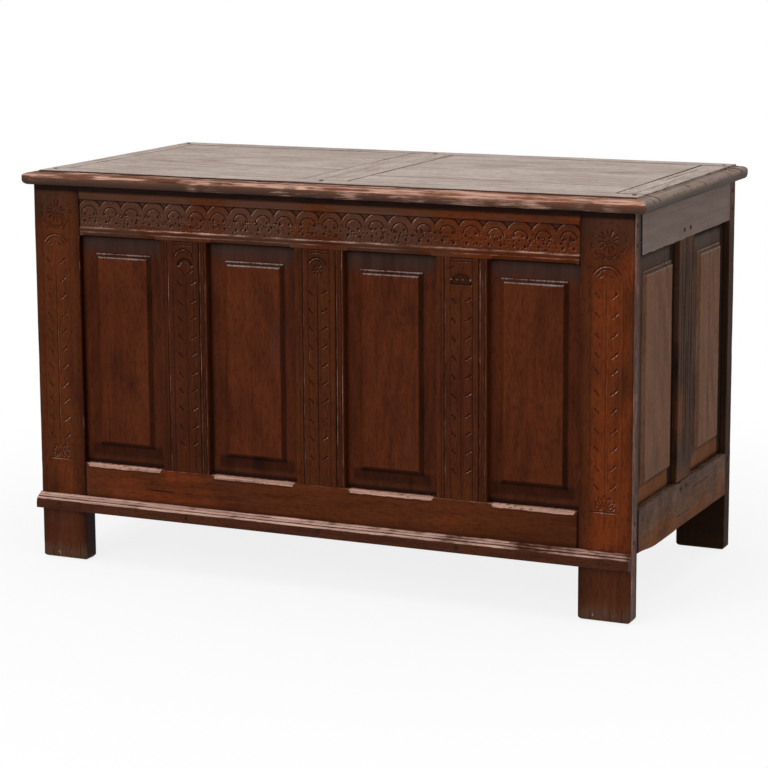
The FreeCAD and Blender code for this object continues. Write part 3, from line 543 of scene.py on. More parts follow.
def oak(name, dark, middle, light, bare_and_highlight, red, dusty, grime_and_shade=(0.008, 0.003, 0.002), roughness=0.45, gloss=0.06,
        figure_share=0.3, pore_share=0.45, mottle_share=0.5, grain=None):
    """An oak finish. The wood goes from dark to middle by its rings, streaks and fibres, and to light in
    patches; bare is the colour of rubbed wood and of painted highlights, red the warmer wood, dusty the
    greyer, and grime the colour of what fills the hollows and of painted shade. The shade mark darkens the
    wood towards black, for its own tone and for painted shade.

    grain is None where the piece carries its own grain places; on a plain model piece it is the turn that
    takes its upright direction to the grain's.
    """
    material = bpy.data.materials.new(name)
    material.use_nodes = True
    tree = material.node_tree
    shader = tree.nodes["Principled BSDF"]
    if grain is None:
        place = add(tree, "Attribute", attribute_name="grain_place").outputs["Vector"]
        painted = add(tree, "Attribute", attribute_name="wood_marks").outputs
        marks = dict(zip(("Wear and highlight", "Dirt and shade", "Tint"), add(tree, "SeparateColor", {0: painted["Color"]}).outputs))
        marks["Dust"] = add(tree, "Attribute", attribute_name="wood_dust").outputs["Fac"]
        shade = painted["Alpha"]
    else:
        where = add(tree, "TexCoord").outputs["Object"]
        place = add(tree, "Mapping", {"Vector": where, "Rotation": grain}).outputs[0]
        marks = {}
        shade = 1.0
    seen = add(tree, "Group", {"Place": place, **TREE_SHAPE}, node_tree=FIGURE).outputs
    marked = add(tree, "Group", {"Place": place, **marks}, node_tree=OAK_MARKS).outputs
    streaks = calc(tree, "MULTIPLY", seen["Streaks"], 0.5)
    tone = calc(tree, "MULTIPLY_ADD", seen["Rings"], figure_share, streaks)
    tone = calc(tree, "MULTIPLY_ADD", seen["Fibres"], 0.3, tone, clamp=True)
    wood = blended(tree, tone, colour(dark), colour(middle))
    wood = blended(tree, calc(tree, "MULTIPLY", seen["Cloud"], 0.7), wood, colour(light))
    wood = blended(tree, marked["Red"], wood, blended(tree, tone, colour(red, 0.6), colour(red)))
    wood = blended(tree, calc(tree, "MULTIPLY", seen["Pores"], pore_share), wood, colour(dark, 0.5))
    wood = blended(tree, calc(tree, "MULTIPLY", seen["Mottle"], mottle_share), wood, colour(dark, 0.4))
    wood = blended(tree, marked["Grey"], wood, blended(tree, tone, colour(dusty, 0.75), colour(dusty)))
    # Shade darkens the wood towards black: its own tone, and painted shade.
    wood = blended(tree, calc(tree, "SUBTRACT", 1.0, shade), wood, colour(middle, 0.06))
    paler = blended(tree, seen["Fibres"], colour(bare_and_highlight, 0.45), colour(bare_and_highlight, 1.1))
    wood = blended(tree, marked["Bare and highlight"], wood, paler)
    wood = blended(tree, marked["Grime and shade"], wood, colour(grime_and_shade))
    tree.links.new(wood, shader.inputs["Base Color"])
    shine = calc(tree, "MULTIPLY_ADD", seen["Cloud"], 0.12, roughness - 0.06)
    shine = calc(tree, "MULTIPLY_ADD", marked["Grime and shade"], 0.3, shine)
    shine = calc(tree, "MULTIPLY_ADD", seen["Pores"], 0.15, shine, clamp=True)
    tree.links.new(shine, shader.inputs["Roughness"])
    shader.inputs["Specular IOR Level"].default_value = gloss
    height = calc(tree, "SUBTRACT", calc(tree, "MULTIPLY", seen["Fibres"], 0.6), seen["Pores"])
    height = calc(tree, "MULTIPLY_ADD", seen["Streaks"], 0.5, height)
    tree.links.new(bumped(tree, height, 0.35, 0.4 * MM), shader.inputs["Normal"])
    return material


LOOKS = {
    "oak_front_frame": dict(dark=(0.042, 0.0095, 0.0030), middle=(0.098, 0.0230, 0.0062),
                            light=(0.112, 0.0280, 0.0074), bare_and_highlight=(0.50, 0.285, 0.220),
                            red=(0.172, 0.034, 0.0072), dusty=(0.090, 0.040, 0.0235), gloss=0.035),
    # On the panels the pale colour shows only as painted highlights, the glints along their bevels.
    "oak_front_panel": dict(dark=(0.040, 0.0085, 0.0028), middle=(0.088, 0.0190, 0.0055),
                            light=(0.096, 0.0220, 0.0065), bare_and_highlight=(0.27, 0.200, 0.180),
                            red=(0.145, 0.032, 0.0068), dusty=(0.048, 0.027, 0.021), gloss=0.035,
                            figure_share=0.4),
    "oak_moulding": dict(dark=(0.032, 0.0085, 0.0038), middle=(0.070, 0.0195, 0.0085),
                         light=(0.085, 0.0260, 0.0120), bare_and_highlight=(0.60, 0.365, 0.29), red=(0.17, 0.05, 0.02),
                         dusty=(0.10, 0.06, 0.05), gloss=0.04),
    "oak_side": dict(dark=(0.110, 0.044, 0.024), middle=(0.235, 0.113, 0.064), light=(0.255, 0.132, 0.082),
                     bare_and_highlight=(0.36, 0.27, 0.23), red=(0.27, 0.090, 0.028), dusty=(0.265, 0.192, 0.160),
                     roughness=0.6, gloss=0.03, pore_share=0.6, mottle_share=0.4),
    # The lid's colours are lighter than its weathered wood alone: they hold a painted reflection of the sky
    # on its top.
    "oak_lid": dict(dark=(0.215, 0.150, 0.120), middle=(0.51, 0.420, 0.367), light=(0.53, 0.443, 0.393),
                    bare_and_highlight=(0.60, 0.350, 0.265), red=(0.27, 0.088, 0.040), dusty=(0.27, 0.200, 0.165),
                    grime_and_shade=(0.022, 0.011, 0.008), roughness=0.6, gloss=0.03, pore_share=0.7,
                    mottle_share=0.34),
    "oak_peg": dict(dark=(0.022, 0.007, 0.003), middle=(0.060, 0.017, 0.007), light=(0.070, 0.022, 0.009),
                    bare_and_highlight=(0.2, 0.12, 0.08), red=(0.1, 0.03, 0.01), dusty=(0.06, 0.04, 0.03), roughness=0.6,
                    grain=(0.0, 0.0, 0.0)),
}
PLAIN = dict(dark=(0.10, 0.062, 0.036), middle=(0.26, 0.175, 0.11), light=(0.30, 0.21, 0.14),
             bare_and_highlight=(0.38, 0.28, 0.2), red=(0.22, 0.12, 0.06), dusty=(0.2, 0.16, 0.12), roughness=0.7)
OAK = {name: oak(name, **look) for name, look in LOOKS.items()}
ALONG_X = oak("oak_plain_level", grain=(0.0, 0.0, QUARTER), **PLAIN)
ALONG_Y = oak("oak_plain_deep", grain=(0.0, 0.0, 0.0), **PLAIN)
ALONG_Z = oak("oak_plain_upright", grain=(QUARTER, 0.0, 0.0), **PLAIN)


def wrought_iron(name, black, rusty, metal, gloss):
    """Black forged iron: hammered facets in the bump, and rust brown in patches, where it is rougher and less
    metallic.
    """
    material = bpy.data.materials.new(name)
    material.use_nodes = True
    tree = material.node_tree
    shader = tree.nodes["Principled BSDF"]
    where = add(tree, "TexCoord").outputs["Object"]
    scale = noise(tree, where, 90.0, 4.0, 0.6)
    facets = add(tree, "TexVoronoi", {"Vector": where, "Scale": 110.0}, feature="SMOOTH_F1").outputs[0]
    rust = between(tree, scale, 0.48, 0.62)
    tree.links.new(blended(tree, rust, colour(black), colour(rusty)), shader.inputs["Base Color"])
    tree.links.new(calc(tree, "MULTIPLY_ADD", rust, 0.25, 0.5), shader.inputs["Roughness"])
    tree.links.new(calc(tree, "MULTIPLY_ADD", rust, -0.7 * metal, metal), shader.inputs["Metallic"])
    shader.inputs["Specular IOR Level"].default_value = gloss
    height = calc(tree, "MULTIPLY_ADD", scale, 0.4, facets)
    tree.links.new(bumped(tree, height, 0.5, 0.8 * MM), shader.inputs["Normal"])
    return material


IRON = wrought_iron("wrought_iron", (0.035, 0.032, 0.030), (0.085, 0.038, 0.018), 0.8, 0.5)
RUSTED = wrought_iron("rusted_iron", (0.028, 0.011, 0.007), (0.060, 0.020, 0.009), 0.0, 0.05)

# ---------------------------------------------------------------- carving

FINE_STEP, BOARD_STEP, SIDE_STEP = mm(1.15, 2.8, 1.8)


def member_rings(thick):
    """Rings for a plain member: two near its face, one near its back and an eased back edge."""
    return [(4.5, 0, 0.15), (9, 0, 0), (thick - 2.5, 0, 0.1), (thick - 0.8, 0.2, 0.4), (thick, 1, 0.4)]


def around(centre, angle, reach, rise=None):
    """A place round a centre at an angle in degrees: reach across and up, or reach across and rise up."""
    turned = math.radians(angle)
    return centre[0] + reach * math.cos(turned), centre[1] + (rise or reach) * math.sin(turned)


def rosette(face, centre, seed):
    """Twelve short petals round an eye, a ring of short arcs beside their tips, and a cup of arcs below."""
    jitter = np.random.default_rng(seed)
    for index in range(12):
        angle = index * 30 + 8 + jitter.uniform(-5, 5)
        face.stroke(around(centre, angle, 7), around(centre, angle, 22 + jitter.uniform(-3, 3)), 3.6, 1.3)
    face.arc(centre, 5.5, 3.0, 1.4, 190, 350)
    face.punch(centre, 4, 4, 1.1)
    for index in range(13):
        angle = index * 27.7 + jitter.uniform(-4, 4)
        depth = 1.2 if math.sin(math.radians(angle)) < 0.2 else 0.4
        face.arc(around(centre, angle, 28, 29), 4.5, 2.4, depth, angle - 70, angle + 70)
    face.arc((centre[0], centre[1] - 9), 20, 2.4, 1.1, 215, 325)


def arch(face, crown, half_width, rise):
    """An arc over the vine, with a fainter one inside it."""
    radius = (half_width ** 2 + rise ** 2) / (2 * rise)
    centre = (crown[0], crown[1] - radius)
    reach = math.degrees(math.asin(min(half_width / radius, 1)))
    face.arc(centre, radius, 3.2, 1.4, 90 - reach, 90 + reach)
    face.arc(centre, radius - 6, 2.2, 0.8, 94 - reach, 86 + reach)


def vine(face, low, high, pitch, leaf, back, seed):
    """A stem groove with a fainter one beside it, leaf cuts that climb away to its right, and shorter ones
    that fall towards it on its left.

    leaf and back each give where a cut starts and ends beside the stem and how much it climbs or falls."""
    jitter = np.random.default_rng(seed)
    face.stroke((0, low - 40), (0, high + 8), 2.6, 0.9)
    face.stroke((5, low - 30), (5, high), 2.0, 0.35)
    for step in range(int((high - low) / pitch)):
        foot = high - 20 - step * pitch + jitter.uniform(-2.5, 2.5)
        reach = leaf[1] + jitter.uniform(-2, 1)
        knee = (0.45 * leaf[0] + 0.55 * reach, foot - 0.6 * leaf[2])
        face.stroke((leaf[0], foot - leaf[2]), knee, 3.2, 1.2)
        face.stroke(knee, (reach, foot), 3.8, 1.6)
        face.stroke((knee[0] + 3, knee[1] - 6), (reach + 1, foot - 7), 1.6, 0.5)
        fall = foot - 5 + jitter.uniform(-2, 2)
        face.stroke((back[0], fall), (back[1], fall - back[2]), 3.4, 1.2)
        face.punch((back[0], fall), 4.4, 5.2, 1.4)


def fan(face, foot):
    """A fan of seven pointed leaves, each an outline of two bowed cuts, over a foot line."""
    for angle in range(12, 169, 26):
        start = around(foot, angle, 5, 3)
        end = around(foot, angle, 18 + 10 * math.sin(math.radians(angle)))
        for bow in (-4, 4):
            knee = around((0.45 * start[0] + 0.55 * end[0], 0.45 * start[1] + 0.55 * end[1]), angle + 90, bow)
            face.stroke(start, knee, 2.6, 1.0)
            face.stroke(knee, end, 2.6, 1.2)
    face.stroke((foot[0] - 30, foot[1] - 5), (foot[0] + 30, foot[1] - 5), 3.0, 1.4)


# ---------------------------------------------------------------- front corner posts


def rounded_foot(low, high, radius):
    """Rounds the bottom edges of a post between its low and high corners."""
    def bend(points):
        points = points.copy()
        for axis in (0, 1):
            core = np.clip(points[:, axis], low[axis] + radius, high[axis] - radius)
            core_up = np.maximum(points[:, 2], low[2] + radius)
            points[:, axis], points[:, 2] = drawn_in(core, core_up, points[:, axis], points[:, 2], radius)
        return points
    return bend


def foot_marks(face, seed):
    """The foot of a post: dry and dusty close to the floor, with fine upright splits from its end."""
    height = face.up - FLOOR_Z
    low = 1 - ramp_mm(height + 14 * MM * face.noise(9, seed, u=0), 4, 56)
    face.grey(0.9 * low)
    face.rub_and_highlight(0.2 * low)
    for index, share in enumerate((0.23, 0.61, 0.84)):
        place = face.across.min() + share * (face.across.max() - face.across.min())
        face.split(-20 * MM, (24 + 9 * index) * MM, place, 0.7, 0.8, seed + index, upright=True)
    specks = ramp(face.noise(4, seed + 6, u=0.3), 0.2, 0.6) * (1 - ramp_mm(height, 8, 40))
    face.rub_and_highlight(0.6 * specks)
    face.sink()


# For each front post: its vine's stem, its inner edge, its arrises, how much the rubbed wear and painted
# highlights of its rosette are faded, and how red it is.
STILES = {"left": (LEFT + 46 * MM, FRAME_LEFT, (3, 1.4, 1.5, 1), 0.55, 0.3),
          "right": (RIGHT - 51 * MM, FRAME_RIGHT, (1.4, 3, 1.5, 1), 0.35, 0.95)}
SPRIGS = (((0, 637), (0, 627)), ((-6, 633), (-15, 628)), ((6, 633), (15, 628)), ((-13, 638), (-21, 630)),
          ((13, 638), (21, 632)), ((-24, 664), (-16, 659)), ((24, 664), (17, 659)))
STILE_RINGS = [(4.5, 0, 0.5), (9, 0, 0.42), (18, 0, 0.44), (25, 0, 0.4), (28, 0, 0.3, 0.7), (30, 0, 0, 0.1),
               (STILE_THICK - 1, 0.2, 0, 0.05), (STILE_THICK, 1, 0, 0.05)]


def front_stile(side, seed):
    """A front corner post with its rosette, arch, vine and fan."""
    node = f"front_{side}_stile"
    low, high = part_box(node)
    stem, rim, arrises, faded, red = STILES[side]
    face = Face("front", lines(low.x, high.x, FINE_STEP), lines(low.z, high.z, FINE_STEP * 1.04), stem)
    face.planed(0.35, seed)
    rosette(face, (3, 694), seed)
    arch(face, (1, 650), 27, 17)
    for start, end in SPRIGS:
        face.stroke(start, end, 2.4, 1.1)
    vine(face, 240, 622, 34.5, (8, 22, 12), (-19, -11, 9), seed + 1)
    fan(face, (0, 209))
    for offset in (-29, 32):
        face.stroke((offset, 190), (offset, 650), 2.0, 0.45)
    face.settle(lip_highlight=0.6, grime_and_shade=0.7)
    # Fades the rubbed wear and the painted highlights on the lips of the cuts round the rosette.
    face.wear_and_highlight = face.wear_and_highlight * (1 - faded * ramp_mm(face.up, 640, 670))
    foot_marks(face, seed + 2)
    face.ease(arrises, seed + 3, rub_and_highlight=0.25)
    over, foot = face.up - BODY_TOP, face.up < MOULDING_LOW
    beside = face.across - stem - 4 * MM
    if side == "right":
        beside = np.minimum(beside, 0.5 * beside)
    by_stem = np.exp(-(beside / (30 * MM)) ** 4)
    face.tint = red * ramp(face.noise(90, seed + 4, u=0.5), -0.5, 0.3) * (1 - 0.8 * ramp_mm(over, -110, -40))
    face.tint = face.tint * (0.25 + 0.75 * by_stem) * (face.up > MOULDING_LOW)
    upper = ramp_mm(over + 20 * MM * face.noise(30, seed + 8), -95, -20)
    face.grey(0.5 * upper)
    face.grey(0.3 * foot)
    # The top 6 to 18 mm carry a painted shadow of the lid. The post is also darker where dusty near the top,
    # away from the vine, at the foot and along its inner edge.
    face.shade = 1 - 0.25 * upper - 0.3 * ramp_mm(over, -18, -6) - 0.22 * (1 - by_stem) - 0.12 * foot
    face.shade -= 0.1 * ramp(face.noise(20, seed + 9, u=0.3), 0.1, 0.6) + 0.25 * ridge(face.across - rim, 9)
    face.shade += 0.4 * (1 - ramp_mm(face.up - FLOOR_Z, 6, 50))
    # A painted shadow under the lid's edge, over the top 8 to 12 mm.
    face.soil_and_shade(0.98 * ramp_mm(over, -12, -8))
    build(face, node, "oak_front_frame", True, STILE_RINGS, seed, bend=rounded_foot(low, high, 10 * MM),
          worn_and_lit_end=("left", "right").index(side))


for order, stile_side in enumerate(STILES):
    front_stile(stile_side, 100 + 20 * order)

# ---------------------------------------------------------------- front rails

BAND_LOW, BAND_TOP = TOP_RAIL_LOW + 15 * MM, BODY_TOP - 24 * MM
BAND_RECESS = 2.2 * MM
LUNETTES = 22
LUNETTE_PITCH = (FRAME_RIGHT - FRAME_LEFT) / LUNETTES


def lunettes(face, seed):
    """A row of round arches in a sunk band. In each one: an incised inner arc with straight legs, a wide
    plain ring outside it, a V cut down to where two rings meet, upright springer lines and five punched
    dots. Every arch has its own small shift and size, taken from a table by its number."""
    number = np.clip(((face.across - FRAME_LEFT) / LUNETTE_PITCH).astype(int), 0, LUNETTES - 1)
    drift = np.random.default_rng(seed).uniform(-1, 1, (8, LUNETTES))[:, number]
    a = face.across - FRAME_LEFT - (number + 0.5) * LUNETTE_PITCH
    b = face.up - BAND_LOW
    inside = (b > 1 * MM) & (face.up < BAND_TOP)
    own = a + 1.2 * MM * drift[0]

    def incised(where, distance, width, depth):
        face.cut(inside * where * depth * MM * round_cut(distance, width))

    heart = 26 * MM + 1.2 * MM * drift[2]
    above = b > heart
    arc = np.where(above, np.hypot(own, b - heart), np.abs(own)) - 15.8 * MM - 0.9 * MM * drift[1]
    incised(1, arc, 3.4, np.where(above, 1.8, 0.45))
    incised(above, arc - 4.6 * MM, 2.4, 0.6)
    ring = np.hypot(a, b - 31 * MM) - 25.0 * MM
    notch = inside * np.clip(ring / (2.2 * MM), 0, 1) * ramp_mm(b, 36, 40)
    face.cut(1.6 * MM * notch)
    face.soil_and_shade(0.35 * notch)
    incised(b > 37 * MM, ring - 1.2 * MM, 4.2, 2.8)
    incised((b < 40 * MM) & (b > 8 * MM), LUNETTE_PITCH / 2 - np.abs(a), 2.6, 0.55)
    for index, (side, height) in enumerate(((-1, 27), (1, 27), (-1, 12), (1, 12), (0, 19))):
        spot_a = own - side * 11 * MM + 2.4 * MM * drift[3 + index]
        spot_b = b - height * MM + 2.2 * MM * drift[(4 + index) % 8]
        size = (2 * spot_a / ((5.4 + drift[index]) * MM)) ** 2 + (2 * spot_b / (6.8 * MM)) ** 2
        face.cut(inside * (2.2 if side else 1.2) * MM * np.clip(1 - size, 0, 1) ** 0.6)
    face.cut(inside * 0.9 * MM * (0.5 + 0.5 * face.noise(6, seed + 9)))
    pecks = ramp(face.noise(4.5, seed + 19), 0.25, 0.5) * (1 - ramp_mm(b, 26, 40))
    face.cut(inside * 1.7 * MM * pecks)


def chamfer_size(across, full, stop):
    """How wide the stopped chamfers beside the panels are at each place along a front rail: none up to
    the stop from an opening's end, and the full width a little further in."""
    inward = np.maximum.reduce([np.minimum(across - low, high - across) for low, high in OPENINGS])
    return full * MM * ramp_mm(inward, stop - 1, stop + 0.5 * full)


def top_rail(seed):
    """The carved front rail: a plain band, the sunk band of lunettes, a pale ledge and a chamfered fascia."""
    band = np.concatenate([np.linspace(BAND_LOW - 1.5 * MM, BAND_LOW + 5 * MM, 9),
                           np.arange(BAND_LOW + 5.8 * MM, BAND_TOP - 1 * MM, 1.1 * MM),
                           np.linspace(BAND_TOP - 1 * MM, BAND_TOP + 1.2 * MM, 6),
                           np.linspace(TOP_RAIL_LOW + 3 * MM, BAND_LOW - 2 * MM, 9)])
    ups = lines(TOP_RAIL_LOW, BODY_TOP, 3 * MM, extra=band)
    face = Face("front", lines(FRAME_LEFT, FRAME_RIGHT, 1.28 * MM), ups)
    over, top = face.up - BAND_LOW, face.up - BODY_TOP
    face.planed(0.3, seed)
    lunettes(face, seed)
    face.settle()
    face.depth += BAND_RECESS * ramp_mm(over, -1, 3) * (face.up < BAND_TOP)
    # The ledge that faces up is rubbed pale and painted with a highlight.
    ledge = ridge(over - 0.8 * MM - 0.5 * MM * face.noise(40, seed + 1, u=0), 2.3)
    face.rub_and_highlight(0.75 * ledge * (0.8 + 0.4 * face.noise(30, seed + 6)))
    face.rub_and_highlight(0.5 * ridge(over + 7.5 * MM, 1.3))
    ends = np.minimum(face.across - FRAME_LEFT, FRAME_RIGHT - face.across)
    # Painted shadow under the step at the band's top and under the ledge, and dark joints at both ends.
    shadow = np.maximum(ridge(face.up - BAND_TOP + 0.8 * MM, 1.1), 0.5 * ridge(over + 4 * MM, 1.6))
    shadow = np.maximum(shadow, 1.05 * (1 - ramp_mm(ends, 1.6, 3.4)))
    face.dirt_and_shade = np.maximum(face.dirt_and_shade * (1 - 0.8 * ledge), 0.9 * shadow)
    face.depth = np.maximum(face.depth, chamfer_size(face.across, 7, 9) - (face.up - TOP_RAIL_LOW))
    face.ease((0.5, 0.5, 0.7, 1), seed + 2, rub_and_highlight=0.1)
    face.tint = 0.5 * ramp(face.noise(110, seed + 3) + face.across, 0.0, 0.6)
    face.dust = 0.65 * ramp(face.noise(60, seed + 5, a=0.5) - 0.8 * face.across, -0.5, 0.3)
    face.dust = face.dust * (1 - 0.8 * face.tint)
    # A painted shadow of the lid over the top 5 to 16 mm of the rail, darkest under its edge.
    face.shade = 0.92 - 0.4 * ramp_mm(top, -16, -5)
    face.soil_and_shade(0.98 * ramp_mm(top, -12, -8))
    build(face, "front_top_rail", "oak_front_frame", False, member_rings(RAIL_THICK), seed)


def bottom_rail(seed):
    """The front's lower rail: stopped chamfers on its upper edge under the panels, rubbed pale and painted
    with a sheen where they face up.
    """
    ups = lines(BOTTOM_RAIL_LOW, BOTTOM_RAIL_TOP, 3 * MM,
                extra=np.linspace(BOTTOM_RAIL_TOP - 14 * MM, BOTTOM_RAIL_TOP, 20))
    face = Face("front", lines(FRAME_LEFT, FRAME_RIGHT, 1.8 * MM), ups)
    face.planed(0.5, seed)
    for place, height in ((-330, 158), (40, 166), (300, 148)):
        face.split((place - 60) * MM, (place + 70) * MM, height * MM, 0.7, 0.6, seed + place)
    face.settle()
    size = chamfer_size(face.across, 7, 7)
    nibbled = size * (1 + 0.12 * face.noise(14, seed + 1, u=0))
    below = BOTTOM_RAIL_TOP - face.up
    face.depth = np.maximum(face.depth, nibbled - below)
    # The upward chamfers and the top edge: rubbed wear together with a painted sheen of the light.
    slope = ramp_mm(nibbled - below, -0.4, 0.6)
    grain = face.noise(3.2, seed + 2, a=0.5)
    face.rub_and_highlight(slope * (0.95 + 0.5 * grain))
    face.rub_and_highlight(0.5 * ridge(below, 1.3))
    face.soil_and_shade(slope * 0.4 * ramp(-grain, 0.25, 0.6))
    face.soil_and_shade(0.5 * ridge(below - nibbled - 2.2 * MM, 1.2) * (size > 1 * MM))
    face.ease((0.5, 0.5, 1, 1), seed + 3, rub_and_highlight=0.2)
    ends = np.minimum(face.across - FRAME_LEFT, FRAME_RIGHT - face.across)
    face.soil_and_shade(0.97 * (1 - ramp_mm(ends, 2.2, 4.4)))
    face.depth += 1.6 * MM * (1 - ramp_mm(ends, 1.5, 3))
    face.tint = 0.6 * ramp(face.noise(70, seed + 4, a=0.5), -0.2, 0.6)
    face.tint = face.tint * (1 - 0.7 * ramp(face.across, 0.1, 0.4))
    face.dust = 0.2 * ramp(face.noise(90, seed + 5, a=0.5) - face.across, -0.4, 0.5)
    face.shade = 1.0 - 0.2 * ramp(face.across, 0.1, 0.5) - 0.3 * (1 - ramp_mm(face.up, 136, 143))
    build(face, "front_bottom_rail", "oak_front_frame", False, member_rings(RAIL_THICK), seed)


top_rail(140)
bottom_rail(150)

# ---------------------------------------------------------------- front muntins

# For each muntin: how far its vine's stem is from its middle, and its shade.
MUNTIN_LOOKS = {"left": (7, 0.60), "centre": (-3, 0.68), "right": (-1, 0.74)}


def muntin_head(face, name):
    """What each muntin has over its vine: a double arch, a small flower, or a sunk half round with dots."""
    if name == "left":
        arch(face, (-6, 635), 20, 17)
        face.arc((-3, 600), 15, 9, 1.7, 5, 175)
        face.punch((-3, 612), 12, 9, 1.0)
        face.stroke((-2, 584), (-14, 598), 2.4, 1.2)
        face.stroke((3, 586), (15, 598), 2.4, 1.2)
    elif name == "centre":
        flower = (0, 611)
        arch(face, (0, 634), 20, 14)
        for angle in range(10, 370, 45):
            face.stroke(around(flower, angle, 4), around(flower, angle, 12), 2.8, 1.3)
        face.punch(flower, 5, 5, 1.2)
    else:
        face.stroke((-25, 628), (-13, 634), 2.6, 1.4)
        a, b = face.away((0, 600))
        sunk = (b > 0) * np.clip(3 * (1 - (a / (24 * MM)) ** 2 - (b / (23 * MM)) ** 2), 0, 1)
        face.cut(1.9 * MM * sunk)
        face.soil_and_shade(0.55 * sunk)
        for offset in (-19, -8, 3, 18):
            a, b = face.away((offset, 609))
            dot = (a / (2.4 * MM)) ** 2 + (b / (2.6 * MM)) ** 2
            face.carving = face.carving - 1.5 * MM * np.clip(1 - dot, 0, 1)
            face.rub_and_highlight(0.9 * np.exp(-dot))


def muntin(name, seed):
    """A front muntin: scratch mouldings down both edges, a double line under the rail, a head and a vine."""
    low, high = MUNTINS[name]
    offset, shade = MUNTIN_LOOKS[name]
    stem = (low + high) / 2 + offset * MM
    ups = lines(BOTTOM_RAIL_TOP, TOP_RAIL_LOW, FINE_STEP * 1.02)
    face = Face("front", lines(low, high, FINE_STEP), ups, stem)
    face.planed(0.3, seed)
    for edge, inset, width, depth in ((low, 16, 2.8, 1.4), (low, 10, 1.6, 0.5), (low, 28, 1.7, 0.6),
                                      (high, -16, 3.6, 2.4), (high, -10, 1.8, 0.7), (high, -5, 2.6, 1.6),
                                      (high, -28, 1.7, 0.6)):
        place = edge + inset * MM
        wander = 0.5 * MM * rough(face.up, 0 * face.up, 90 * MM, seed + int(place * 1000))
        face.cut(depth * MM * round_cut(face.across - place - wander, width))
    for height in (648.5, 642.5):
        face.stroke(((low - stem) / MM + 26, height), ((high - stem) / MM - 26, height), 2.0, 0.9)
    muntin_head(face, name)
    vine(face, 225, 596, 35, (7, 20, 8), (-17, -9, 8), seed + 1)
    if name == "centre":
        face.punch((14, 322), 15, 20, 1.0)
    face.settle(lip_highlight=0.5)
    face.ease((1.2, 1.2, 0.4, 0.4), seed + 2, rub_and_highlight=0.22)
    face.tint = 0.4 * ramp(face.noise(50, seed + 3, u=0.4), -0.1, 0.6)
    face.shade = shade - 0.12 * ramp_mm(face.up, 560, 640)
    build(face, "front_muntin_" + name, "oak_front_frame", True, member_rings(RAIL_THICK), seed)


for order, muntin_name in enumerate(MUNTINS):
    muntin(muntin_name, 160 + 10 * order)

# ---------------------------------------------------------------- panels

FIELD_MARGIN, FIELD_BEVEL, FIELD_RISE, FILLET_RISE, GROOVE_REACH = mm(40, 8, 5.6, 1.4, 8)
BEVEL_FOOT = FIELD_MARGIN - FIELD_BEVEL
PANEL_EDGE = 8


